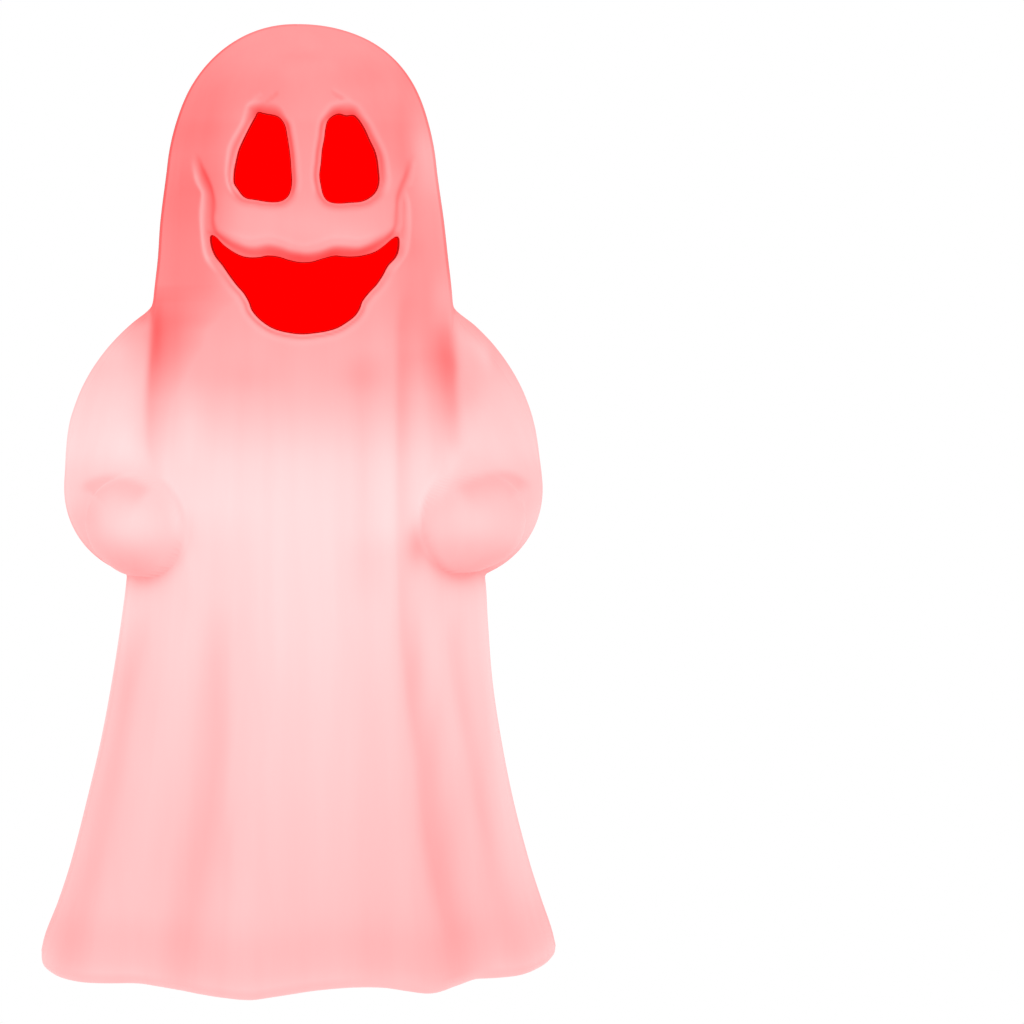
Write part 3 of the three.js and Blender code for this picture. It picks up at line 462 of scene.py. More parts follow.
def fold_profile(px, py, fold):
    stations, heights, (wl, wr) = fold
    ys = [s[1] for s in stations]
    xc = np.interp(py, ys, [s[0] for s in stations])
    h = np.interp(py, ys, heights)
    grow = np.interp(py, [300, 600, 980], [0.75, 0.85, 1.35])
    edge = np.clip((py - ys[0]) / 30, 0, 1) * np.clip((ys[-1] + 25 - py) / 25, 0, 1)
    d = px - xc
    w = np.where(d < 0, wl, wr) * grow
    return h * edge * np.exp(-((d / w) ** 2))


# --------------------------------------------------------------- mesh building
def grid_normals(P):
    """Outward unit normals of a grid [row, column] that closes on itself in columns."""
    du = np.roll(P, -1, axis=1) - np.roll(P, 1, axis=1)
    dv = np.empty_like(P)
    dv[1:-1] = P[:-2] - P[2:]
    dv[0] = P[0] - P[1]
    dv[-1] = P[-2] - P[-1]
    n = np.cross(du, dv)
    return n / np.maximum(np.linalg.norm(n, axis=-1, keepdims=True), 1e-9)


def column_angles(n, bias, seams=False):
    u = np.arange(n) / n * 2 * math.pi
    t = -math.pi / 2 + u - bias * np.sin(u)
    if seams:  # close columns at the parting line on both sides
        for centre in (0.0, math.pi):
            d = np.abs((t - centre + math.pi) % (2 * math.pi) - math.pi)
            t = t[d > math.radians(0.9)]
            t = np.concatenate([t, centre + np.radians([-0.62, -0.26, 0.26, 0.62])])
        t = np.sort(((t + math.pi / 2) % (2 * math.pi)) - math.pi / 2)
    return t


def dome_rows(n, top=HEIGHT, low=DOME_Z):
    a = np.arange(1, n + 1) / n * (math.pi / 2)
    return low + (top - low) * np.maximum(np.cos(a), 0) ** (2 / CROWN)


UNDER = [(0.0, 4.2), (0.2, 2.8), (0.7, 1.6), (1.6, 0.7), (3.0, 0.15), (4.6, 0), (10, 0), (11.6, 0.4), (12.9, 1.5),
         (14.2, 3.4), (15.2, 5.8), (16.2, 9), (17.2, 11.2), (18.8, 13.1), (21, 13.9), (23, PANEL_Z)]
UNDER_IN = [(3.2, 6.4), (4.6, 4.2), (7, 2.9), (8.7, 2.9), (10.4, 3.9), (11.8, 6), (13.2, 9.8), (14.8, 13.6), (17.4, 16),
            (20.5, 16.6)]


class Shape:
    """Vertices and faces being gathered, with a material slot for each face."""

    def __init__(self):
        self.v, self.f, self.m, self.level, self.tone = [], [], [], [], []
        self.count = 0

    def add(self, points, level=None, tone=None):
        points = np.asarray(points, float).reshape(-1, 3)
        self.v.append(points)
        if level is None:
            level = UP_THE_MIDDLE(points[:, 2]) - 6
        self.level.append(np.asarray(level, float).reshape(-1))
        self.tone.append(np.ones(len(points)) if tone is None else np.asarray(tone, float).reshape(-1))
        self.count += len(points)
        return np.arange(self.count - len(points), self.count)

    def faces(self, faces, slot=0):
        for f in faces:
            self.f.append(tuple(int(i) for i in f))
            self.m.append(slot)

    def points(self):
        return np.concatenate(self.v)


def clip_grid(shape, P, level, index, D, slot, flip):
    """Adds the quads of a grid, without the part where D < 0, and returns them."""
    rows, cols = D.shape
    D = D.copy().reshape(-1)
    flat = P.reshape(-1, 3)
    bright = level.reshape(-1)
    extra = {}
    new_points, new_level = [], []

    def cut(a, b):
        key = (min(a, b), max(a, b))
        if key not in extra:
            t = D[a] / (D[a] - D[b])
            extra[key] = len(new_points)
            new_points.append(flat[a] + t * (flat[b] - flat[a]))
            new_level.append(bright[a] + t * (bright[b] - bright[a]))
        return ("n", extra[key])

    quads = []
    pieces = []
    # whole quads first, then the cut ones
    for i in range(rows - 1):
        row = D[i * cols:(i + 1) * cols]
        nxt = D[(i + 1) * cols:(i + 2) * cols]
        busy = (row.min() <= 0) or (nxt.min() <= 0)
        for j in range(cols):
            k = (j + 1) % cols
            q = (i * cols + j, (i + 1) * cols + j, (i + 1) * cols + k, i * cols + k)
            if not busy:
                quads.append(q)
                continue
            d = [D[x] for x in q]
            if min(d) >= 0:
                quads.append(q)
                continue
            if max(d) <= 0:
                continue
            for tri in ((q[0], q[1], q[2]), (q[0], q[2], q[3])):
                dd = [D[x] for x in tri]
                if min(dd) >= 0:
                    pieces.append([("o", x) for x in tri])
                    continue
                if max(dd) <= 0:
                    continue
                poly = []
                for n in range(3):
                    a, b = tri[n], tri[(n + 1) % 3]
                    if D[a] >= 0:
                        poly.append(("o", a))
                    if (D[a] > 0 and D[b] < 0) or (D[a] < 0 and D[b] > 0):
                        poly.append(cut(a, b))
                if len(poly) >= 3:
                    pieces.append(poly)
    made = shape.add(new_points, new_level) if new_points else np.array([], int)
    name = lambda p: int(index.reshape(-1)[p[1]]) if p[0] == "o" else int(made[p[1]])
    faces = [[int(index.reshape(-1)[x]) for x in q] for q in quads] + [[name(p) for p in poly] for poly in pieces]
    if flip:
        faces = [f[::-1] for f in faces]
    shape.faces(faces, slot)
    return faces


def border_loops(faces):
    """Closed loops of edges that only one face uses, in the faces' own direction."""
    seen = {}
    for f in faces:
        for a, b in zip(f, f[1:] + f[:1]):
            if (b, a) in seen:
                del seen[(b, a)]
            else:
                seen[(a, b)] = True
    nxt = {}
    for a, b in seen:
        nxt.setdefault(a, []).append(b)
    loops = []
    while nxt:
        start = next(iter(nxt))
        loop = [start]
        at = nxt[start].pop()
        if not nxt[start]:
            del nxt[start]
        while at != start:
            loop.append(at)
            if at not in nxt:
                break
            b = nxt[at].pop()
            if not nxt[at]:
                del nxt[at]
            at = b
        loops.append(loop)
    return loops


def zip_loops(A, B, PA, PB):
    """Triangles between two closed loops of points that run the same way round."""
    n, m = len(A), len(B)
    off = int(np.argmin(np.linalg.norm(PB - PA[0], axis=1)))
    B = [B[(off + k) % m] for k in range(m)]
    PB = np.roll(PB, -off, axis=0)
    la = np.concatenate([[0], np.cumsum(np.linalg.norm(np.roll(PA, -1, 0) - PA, axis=1))])
    lb = np.concatenate([[0], np.cumsum(np.linalg.norm(np.roll(PB, -1, 0) - PB, axis=1))])
    la, lb = la / la[-1], lb / lb[-1]
    i = j = 0
    out = []
    while i < n or j < m:
        if j >= m or (i < n and la[i + 1] <= lb[j + 1]):
            out.append((A[i % n], A[(i + 1) % n], B[j % m]))
            i += 1
        else:
            out.append((A[i % n], B[(j + 1) % m], B[j % m]))
            j += 1
    return out


def lines_height(px, py, lines):
    """Height in millimetres of a set of lines, and their painted light and shade."""
    h, k = np.zeros(px.shape), np.zeros(px.shape)
    for path, height, width, level in lines:
        box = (
            (px > path[:, 0].min() - 14) & (px < path[:, 0].max() + 14)
            & (py > path[:, 1].min() - 14) & (py < path[:, 1].max() + 14)
        )
        if box.any():
            d, share, _ = path_distance(px[box], py[box], path)
            fade = np.clip(np.minimum(share, 1 - share) / 0.16, 0.05, 1)
            w = width * (1 + 0.12 * np.sin(share * 19 + path[0, 0]))
            line = fade * np.exp(-((d / w) ** 2))
            h[box] += height * line
            k[box] += level * line
    return h, k


def cuff_step(px, py):
    """Height in millimetres of the soft step at the end of each sleeve, and its painted shade, narrow on one side of
    the step and broad on the other.
    """
    h, k = np.zeros(px.shape), np.zeros(px.shape)
    for path in CUFFS:
        d, share, side = path_distance(px, py, path)
        fade = smoothstep(0, 0.22, share) * smoothstep(1, 0.80, share)
        inside = side > 0
        h -= 1.1 * fade * np.where(inside, np.exp(-((d / 11) ** 2)), np.exp(-((d / 4) ** 2)))
        k -= 15 * fade * np.where(inside, np.exp(-((d / 17) ** 2)), np.exp(-((d / 4.5) ** 2)))
    return h, k


def face_relief(px, py):
    """The face over the plain cloth: its height in millimetres, the painted light and shade that go with it, and the
    distance to the nearest opening."""
    e1, e2, m = loop_distance(px, py, EYE_MINUS), loop_distance(px, py, EYE_PLUS), loop_distance(px, py, MOUTH)
    wob = 0.5 * np.sin(px * 0.55 + 1.3 * np.sin(py * 0.31)) + 0.5 * np.sin(py * 0.47 + 0.9 * np.sin(px * 0.23))
    plate = -loop_distance(px, py, PLATE)
    h = 1.7 * smoothstep(-3.6, 3.0, plate) * smoothstep(112, 190, py)
    # the upper lip: a bevel from the crest of the plate down to the edge of the mouth, painted in shade, with painted
    # light on the crest and along the mouth's edge
    lip = smoothstep(-11, -7, plate) * smoothstep(226, 240, py)
    late = np.interp(px, [225, 240, 255, 270, 285, 300, 315, 330, 345, 360, 375], [0, 1, 3.3, 4, 2.3, 1.5, 2.8, 4.2, 4.1, 2.6, 0])
    bevel = lip * smoothstep(8.5, -2.0, plate + late)
    h = h - 1.7 * bevel + 0.45 * lip * bell(plate, 10.5, 3.0)
    depth = np.interp(px, [208, 218, 240, 255, 270, 285, 300, 315, 330, 345, 362, 376, 390, 400], [30, 46, 53, 60, 71, 69, 77, 75, 92, 82, 78, 64, 44, 26])
    relief_light_and_shade = -depth * bevel + 4 * lip * bell(plate, 11, 3)
    rim = np.interp(px, [208, 216, 244, 262, 268, 336, 346, 366, 396], [30, 26, 16, 10, 0, 0, 6, 10, 12])
    relief_light_and_shade = relief_light_and_shade + rim * lip * bell(m, 1.0, 1.5)
    # the eyes: a soft ridge, a bevel down to the edge, deepest at the top; painted shade on the bevel, darkest at the
    # top, and lines of painted light and shade round each socket
    for k, hole, loop in ((-1, e1, SOCKET_MINUS), (1, e2, SOCKET_PLUS)):
        s = loop_distance(px, py, loop)
        din, dh = np.maximum(-s, 0), np.maximum(hole, 0)
        t = din / np.maximum(din + dh, 1e-6)
        top = smoothstep(126, 113, py)
        foot = smoothstep(188, 200, py)
        h = h - (1.5 + 0.9 * top) * smoothstep(0, 1, t) ** 0.8
        h = h + (0.42 + 0.12 * wob) * np.exp(-(((s - 0.8) / 2.3) ** 2))
        relief_light_and_shade = relief_light_and_shade - (47 if k < 0 else 55) * top * smoothstep(0.0, 0.8, t)
        side = (1 - top) * (1 - foot)
        if k < 0:
            outer = smoothstep(266, 254, px)
            mid = np.interp(py, [150, 175], [0.5, 0.3])
            relief_light_and_shade = relief_light_and_shade + side * outer * (24 * bell(s, 0.2, 2.0) - 24 * bell(t, mid, 0.2) + 12 * bell(t, mid + 0.38, 0.12))
            relief_light_and_shade = relief_light_and_shade + side * (1 - outer) * (-52 * bell(dh, 3.1, 2.5) + 8 * bell(dh, 9, 2))
            relief_light_and_shade = relief_light_and_shade + top * outer * (14 * bell(s, 1.2, 2.4))
        else:
            outer = smoothstep(336, 350, px)
            relief_light_and_shade = relief_light_and_shade + side * outer * (6 * bell(s, 1.8, 2.6) - 26 * smoothstep(0.05, 0.5, t) + 9 * bell(t, 0.95, 0.12))
            relief_light_and_shade = relief_light_and_shade + side * outer * (-16 * bell(dh, 4.4, 2.0) + 8 * bell(dh, 9.5, 2.2))
            relief_light_and_shade = relief_light_and_shade + side * (1 - outer) * (-36 * bell(dh, 4.4, 2.1) + 8 * bell(dh, 8.2, 1.7))
            relief_light_and_shade = relief_light_and_shade + top * (8 * bell(s, 2.0, 2.6))
        relief_light_and_shade = relief_light_and_shade - foot * (40 * bell(dh, 3.6, 2.3) + 8 * bell(dh, 7, 2))
    # a low swelling under the mouth and round its corners, with painted light on it and painted shade close under the
    # mouth's edge
    low = (1 - lip) * np.exp(-(((m - 3.4) / 2.9) ** 2))
    h = h + (0.75 + 0.2 * wob) * low
    rim = (1 - lip) * smoothstep(262, 290, py)
    relief_light_and_shade = relief_light_and_shade + rim * (7 * bell(m, 8.8, 2.6) - np.interp(py, [290, 322], [22, 36]) * bell(m, 3.8, 1.5)) + 2 * wob * low
    lh, lk = lines_height(px, py, LINES)
    return h + lh, relief_light_and_shade + lk, np.minimum(np.minimum(e1, e2), m)


def folds_height(px, py):
    h = np.zeros(px.shape)
    for fold in FOLDS:
        h += fold_profile(px, py, fold)
    return h


def back_folds(theta, z, ny):
    deg = np.degrees(theta) % 360
    h = np.zeros(theta.shape)
    for ang, amp, w, lean in ((38, -1.4, 7, 5), (52, 1.5, 7, 4), (66, -1.7, 6, 2), (80, 1.6, 7, 1), (95, -1.5, 6, -1),
                              (109, 1.6, 7, -2), (124, -1.7, 7, -3), (140, 1.4, 7, -5)):
        h += amp * np.exp(-(((deg - ang + lean * (z - 200) / 200) / w) ** 2))
    return h * smoothstep(0.1, 0.6, ny) * (0.25 + 0.75 * smoothstep(430, 120, z)) * smoothstep(520, 440, z)


# ------------------------------------------------------ the light in the wall
# Brightness of the plastic, 0 to 255 as it shows, from the foot to the crown: the
# lamp's head stands a little under half way up, and the hood gets the least.
UP_THE_MIDDLE = curve_through([
    [612, 158], [572, 155], [534, 157], [497, 163], [478, 168], [460, 169], [430, 170], [403, 173], [385, 178],
    [366, 188], [347, 203], [329, 215], [310, 220], [291, 221], [254, 219], [217, 216], [179, 211], [142, 207],
    [105, 202], [67, 198], [48, 195], [30, 189], [16, 191], [6, 197], [-5, 197],
])
UP_THE_ARM = curve_through([
    [430, 175], [412, 182], [397, 192], [381, 203], [366, 210], [350, 215], [335, 217], [320, 210], [304, 205],
    [288, 205], [272, 196], [262, 188], [252, 178], [240, 172],
])


def to_light(level):
    v = np.clip(level, 0, 255) / 255
    return np.where(v <= 0.04045, v / 12.92, ((v + 0.055) / 1.055) ** 2.4)


def wall_level(x, y, z, px, py, n, n0, relief_light_and_shade, folds, arm, crease, opening_d):
    """Painted brightness of the lit wall, with its painted light and shade, from the shape of the ghost round its lamp.
    """
    half = np.where(x > 0, half_plus(z), half_minus(z))
    s = x / half
    front = smoothstep(0.25, -0.15, n0[..., 1])
    v = UP_THE_MIDDLE(z)
    hood = smoothstep(385, 425, z)
    # the lamp stands nearer the +X side of the hood
    dim = np.interp(z, [428, 438, 457, 483, 496, 509, 522, 535, 548, 561, 571, 581, 600], [0, 27, 28, 33, 31, 25, 20, 23, 20, 15, 10, 7, 4])
    wrap = smoothstep(0.62, 0.12, n0[..., 1])
    v = v - wrap * dim * smoothstep(0.36, 0.68, -s) - 6 * (1 - wrap) * smoothstep(400, 470, z) * smoothstep(600, 560, z)
    v = v - 7 * wrap * hood * smoothstep(0.35, 0.75, s) * smoothstep(505, 440, z)
    v = v - 7 * wrap * smoothstep(0.30, 0.50, s) * smoothstep(565, 545, z) * smoothstep(500, 520, z)
    v = v + 35 * wrap * smoothstep(0.72, 0.92, s) * bell(z, 525, 27)
    # painted patches of light and shade over the face and the hood
    v = v - 7 * front * bell(px, 365, 40) * bell(py, 78, 16) - 6 * front * bell(px, 306, 28) * bell(py, 57, 8)
    v = v + front * (9 * bell(px, 350, 28) * bell(py, 237, 13) + 4 * bell(px, 238, 34) * bell(py, 240, 9))
    v = v - 6 * front * bell(px, 414, 9) * bell(py, 248, 14) - 12 * front * bell(px, 400, 4) * bell(py, 250, 10)
    v = v + 13 * front * smoothstep(426, 442, px) * bell(py, 298, 28)
    v = v - 12 * front * bell(px, 258, 34) * bell(py, 92, 26)
    v = v + 7 * front * bell(px, 305, 62) * bell(py, 224, 20)
    v = v - 4.5 * front * smoothstep(115, 128, py) * smoothstep(350, 300, py) * smoothstep(160, 185, px) * smoothstep(445, 425, px)
    v = v - 5 * front * bell(px, 412, 6) * bell(py, 222, 20)
    # the skirt is dimmer off the middle, where the lamp is further away, and painted darker along some of its folds
    v = v - 8 * front * smoothstep(325, 385, px) * smoothstep(503, 480, px) * smoothstep(520, 560, py)
    v = v - front * smoothstep(278, 240, px) * np.interp(py, [505, 545, 640, 700, 760, 860, 910], [0, 5, 8, 8, 6, 4, 0])
    v = v - front * (9 * bell(px, 417, 9) * bell(py, 662, 45) + 5 * bell(px, 437, 9) * bell(py, 730, 45) + 5 * bell(px, 450, 11) * bell(py, 835, 60))
    v = v - front * (5 * bell(px, 122, 14) * bell(py, 670, 34) + 4 * bell(px, 225, 9) * bell(py, 850, 40))
    # painted shade under the mouth
    v = v - front * bell(py, 377, 16) * (6 * bell(px, 244, 34) + 9 * bell(px, 362, 24))
    v = v - 6 * front * bell(px, 368, 20) * smoothstep(345, 365, py) * smoothstep(620, 560, py)
    # painted shade in the valleys of the cloth folds, painted light on their ridges
    v = v + np.where(folds < 0, 4.3, 2.0) * folds * (1 - arm)
    # the body beside the arms, in the painted shadow of the armpit, with a painted lighter patch below the left arm
    near = front * (1 - arm)
    u = px - np.interp(py, *zip(*ARM_EDGE_MINUS)) - 8
    wide = np.interp(py, [300, 310, 320, 330, 345, 360, 380, 400, 420, 460], [80, 68, 61, 50, 48, 40, 31, 22, 18, 14])
    deep = np.interp(py, [284, 300, 310, 320, 330, 345, 360, 380, 400, 440, 480, 500], [0, 41, 47, 57, 59, 53, 45, 30, 16, 11, 7, 0])
    v = v - near * deep * (1 - np.clip(u / wide, 0, 1)) * (px < 300)
    v = v - near * bell(u, 0, 5) * np.interp(py, [296, 310, 330, 350, 370], [0, 9, 12, 9, 0]) * (px < 300)
    v = v + near * bell(px, 191, 17) * np.interp(py, [375, 400, 420, 440, 470], [0, 8, 10, 7, 0])
    u = np.interp(py, *zip(*ARM_EDGE_PLUS)) - 11 - px
    deep = np.interp(py, [296, 320, 335, 350, 362, 372, 400, 430, 455, 500], [0, 5, 20, 33, 37, 36, 27, 13, 6, 0])
    v = v - near * deep * (1 - np.clip(u / 27, 0, 1)) ** 1.2 * (px > 300)
    deep = np.interp(py, [290, 310, 345, 358, 372, 395], [5, 6, 8, 12, 8, 0])
    v = v - near * deep * smoothstep(390, 407, px)
    v = v - near * bell(px, 403, 9) * np.interp(py, [330, 360, 380, 400, 430, 470, 540], [0, 2, 6, 10, 8, 3, 0])
    # arms and hands, with painted light and shade: lighter in the middle of each hand, darker low on it, and patches of
    # painted shade along the outlines and under the shoulders
    a = UP_THE_ARM(z) - 8 * smoothstep(20, 60, x)
    for cx, cy in ((136, 518), (476, 518)):
        hand = front * np.exp(-(((px - cx) / 70) ** 2 + ((py - cy) / 60) ** 2))
        a = a + 9 * front * np.exp(-(((px - cx) / 30) ** 2 + ((py - cy) / 22) ** 2))
        a = a - 9 * hand * smoothstep(528, 560, py)
    a = a + 6 * front * bell(px, 124, 20) * bell(py, 446, 26)
    a = a - 9 * front * smoothstep(120, 148, px) * smoothstep(322, 336, py) * smoothstep(470, 430, py) * (px < 300)
    a = a - 28 * front * smoothstep(110, 140, px) * bell(py, 314, 11) * (px < 300)
    a = a - 8 * front * bell(px, 90, 16) * bell(py, 508, 30)
    out = np.hypot(px - 153, py - 487)
    a = a - 15 * front * smoothstep(50, 86, out) * smoothstep(492, 520, py) * smoothstep(172, 132, px)
    out = np.hypot(px - 451, py - 488)
    a = a - 10 * front * smoothstep(70, 90, out) * smoothstep(535, 560, py) * (px > 300)
    a = a + 14 * front * bell(py - 0.9 * (px - 463), 334, 14) * (px > 440) * smoothstep(494, 484, px)
    a = a - 9 * front * bell(px, 466, 12) * bell(py, 392, 26)
    a = a + 8 * front * bell(px, 110, 20) * bell(py, 350, 14) - 8 * front * bell(px, 152, 8) * bell(py, 336, 18)
    a = a - 7 * front * bell(px, 470, 18) * bell(py, 385, 26)
    v = v + (a - v) * arm
    # painted shade in the creases where an arm meets the body
    v = v - 10 * crease * smoothstep(340, 262, z)
    # painted shadow on the body round each hand, deepest below it
    for cx, cy, r, turn, ways, shadow_depths in HANDS:
        dx, dy = (px - cx) * turn, py - cy
        shadow_depth = np.interp(np.degrees(np.arctan2(dy, dx)), ways, shadow_depths)
        v = v - near * shadow_depth * np.exp(-np.maximum(np.hypot(dx, dy) - r, 0) / 11)
    # a painted shadow beside the right hand, and painted highlights along the hands' edges
    v = v - 25 * front * bell(px, 416, 8) * bell(py, 545, 21)
    v = v + 14 * front * bell(px + 0.5 * (py - 480), 441, 9) * bell(py, 486, 20)
    v = v + 10 * front * bell(px - 0.25 * (py - 500), 174, 7) * bell(py, 522, 36)
    # light falls on the wall from below in the hood: slopes that face down are dim
    way = np.stack([x * 0.25, y * 0.55, z - 300.0], -1)
    way = way / np.maximum(np.linalg.norm(way, axis=-1, keepdims=True), 60)
    tip = np.sum((n - n0) * way, axis=-1) * smoothstep(330, 420, z)
    v = v + np.where(tip < 0, 30, 8) * tip * front
    # painted light and shade of the face's relief and of the cuffs
    v = v + relief_light_and_shade
    # the edge of an opening
    v = v - 12 * np.exp(-np.maximum(opening_d, 0) / 1.0)
    return v


# What the room's own light adds to the green and blue of the plastic, whose base colour is painted red for the lamp
# inside.
ROOM = 0.13


def build_shell():
    shape = Shape()
    # --- outside
    theta = column_angles(330, 0.5, seams=True)
    cols = len(theta)
    top = dome_rows(40)[:-1]
    zs = np.concatenate([
        top[top > 561], np.arange(560, 401, -1.25), np.arange(399.5, 332, -2.6), np.arange(331, 244, -1.7),
        np.arange(242, 10, -4.3), [7.5],
    ])
    T, Z = np.meshgrid(theta, zs)
    X, Y = surface(T, Z)
    P = np.stack([X, Y, Z], -1)
    A = np.arctan2(Y, X)
    N = grid_normals(P)
    px, py = to_px(X, Y, Z)
    near = Y < 5
    front = smoothstep(0.0, 0.3, -N[..., 1])
    col_d = np.hypot(X, Y) - column_radius(A, Z)
    arm_d = np.full(X.shape, 60.0)
    low = (Z > ARM_LOW) & (Z < ARM_HIGH)
    arm_d[low] = arm_distance(P[low])
    arm = smoothstep(-2.5, 3.5, col_d - arm_d)
    crease = np.exp(-((np.maximum(col_d, np.maximum(arm_d, 0)) / 5.5) ** 2))
    crease[~low] = 0
    H, relief_light_and_shade, folds = (np.zeros(px.shape) for _ in range(3))
    face = near & (py < 360) & (px > 180) & (px < 430)
    h, k, _ = face_relief(px[face], py[face])
    H[face] = h * front[face]
    relief_light_and_shade[face] = k * front[face]
    folds[near] = folds_height(px[near], py[near]) * front[near]
    folds *= 1 - arm
    folds += back_folds(A, Z, N[..., 1]) * (1 - arm)
    # the end of each sleeve: a soft step, with painted shade along it
    cuffs = np.zeros(px.shape)
    zone = near & low & (py > 440)
    h, k = cuff_step(px[zone], py[zone])
    cuffs[zone] = h * front[zone] * smoothstep(0.1, 0.6, arm[zone])
    relief_light_and_shade[zone] += k * front[zone] * smoothstep(0.1, 0.6, arm[zone])
    # parting line of the mould, close over the sides
    ridge = np.where(np.abs(np.sin(T)) < math.sin(math.radians(0.42)), 1.0, 0.0)
    seam = ridge * (0.35 + 0.3 * smoothstep(425, 450, Z) * smoothstep(606, 585, Z))
    Q = P + N * (H + folds + cuffs + seam)[..., None]
    # points close to an outline are moved onto it
    px2, py2 = to_px(Q[..., 0], Q[..., 1], Q[..., 2])
    D = np.full(px.shape, 50.0)
    zone = near & (py2 > 95) & (py2 < 350) & (px2 > 195) & (px2 < 415)
    loops = (EYE_MINUS, EYE_PLUS, MOUTH)

    def opening(x, y):
        x, y = x - 0.4, y - 0.1
        return -1.0 + np.minimum(np.minimum(loop_distance(x, y, loops[0]), loop_distance(x, y, loops[1])), loop_distance(x, y, loops[2]))

    D[zone] = opening(px2[zone], py2[zone])
    close = zone & (np.abs(D) < 0.42)
    if close.any():
        x, y = px2[close], py2[close]
        e = 0.05
        gx = (opening(x + e, y) - opening(x - e, y)) / (2 * e)
        gy = (opening(x, y + e) - opening(x, y - e)) / (2 * e)
        s = (DIST + Q[close][:, 1]) / FOCAL
        q = Q[close]
        q[:, 0] -= D[close] * gx * s
        q[:, 2] += D[close] * gy * s
        Q[close] = q
        D[close] = 0.0
    N1 = grid_normals(Q)
    # seen from the front, the light on an arm ends where the arm lies against the body
    left, right = np.interp(py, *zip(*ARM_EDGE_MINUS)), np.interp(py, *zip(*ARM_EDGE_PLUS))
    drawn = np.where(px < 300, smoothstep(left + 6, left - 6, px), smoothstep(right - 7, right + 9, px))
    share = front * smoothstep(296, 312, py) * smoothstep(486, 436, py)
    lit_arm = arm + (drawn - arm) * share
    level = wall_level(X, Y, Z, px, py, N1, N, relief_light_and_shade, folds, lit_arm, crease, np.maximum(D, 0))
    # the wall is thicker, and dimmer, along the parting line; beside it, where the sides turn away from the front view,
    # a painted dark outline is laid as well
    sight = P - np.array([AXIS_X + 9.8, 25.4 - DIST, EYE_Z - 9.86])
    graze = -np.sum(N * sight, axis=-1) / np.linalg.norm(sight, axis=-1)
    side = smoothstep(-60, -40, Y) * smoothstep(40, 20, Y) * smoothstep(-0.11, 0.0, graze)
    outline_shade = smoothstep(0.205, 0.135, graze) * side
    outline_shade *= np.interp(Z, [0, 200, 420, 455, 590, 606], [0.16, 0.16, 0.2, 1.0, 1.0, 0.5]) * np.where(X > 0, 0.7, 1.0)
    rim = smoothstep(0.15, 0.08, graze) * side * np.interp(Z, [0, 420, 455, 590, 606], [0.62, 0.66, 1.0, 1.0, 0.5])
    ridge *= smoothstep(425, 450, Z) * np.where(X > 0, 0.85, 1.0)
    level -= 40 * np.maximum(outline_shade, ridge)
    # the plastic's red is dimmed along the parting line and in the painted dark outline
    tone = 1 - np.maximum(0.42 * np.maximum(outline_shade, 0.8 * rim), 0.74 * ridge)
    index = shape.add(Q, level, tone).reshape(Z.shape)
    faces = clip_grid(shape, Q, level, index, D, 0, False)
    pole = shape.add([[0, 0, HEIGHT]])[0]
    shape.faces([(pole, index[0, j], index[0, (j + 1) % cols]) for j in range(cols)], 0)
    # --- underside and floor of the outside
    last = index[-1]
    for inset, z in UNDER:
        r = column_radius(theta, np.full(cols, 8.0)) - inset
        ring = shape.add(np.stack([r * np.cos(theta), r * np.sin(theta), np.full(cols, z)], -1))
        shape.faces([(last[j], ring[j], ring[(j + 1) % cols], last[(j + 1) % cols]) for j in range(cols)], 0)
        last = ring

    def hole(t):
        r = np.full(t.shape, HOLE_R)
        for a in (60, 180, 300):
            d = (np.degrees(t) - a + 180) % 360 - 180
            half = math.degrees(math.asin(NOTCH_W / 2 / 59))
            r = np.where(np.abs(d) < half, NOTCH_R, r)
        return r

    for share in (0.5, 1.0):
        r0 = column_radius(theta, np.full(cols, 8.0)) - UNDER[-1][0]
        r = r0 + (hole(theta) - r0) * share
        ring = shape.add(np.stack([r * np.cos(theta), r * np.sin(theta), np.full(cols, PANEL_Z)], -1))
        shape.faces([(last[j], ring[j], ring[(j + 1) % cols], last[(j + 1) % cols]) for j in range(cols)], 0)
        last = ring
    floor_edge = list(last)
    # --- inside, one wall in
    t_in = column_angles(150, 0.30)
    ci = len(t_in)
    z_in = np.concatenate([dome_rows(12)[:-1], np.arange(519, 398, -4.2), np.arange(394, 238, -4.2), np.arange(232, 12, -9.5)])
    T2, Z2 = np.meshgrid(t_in, z_in)
    P2 = np.stack([*surface(T2, Z2), Z2], -1)
    N2 = grid_normals(P2)
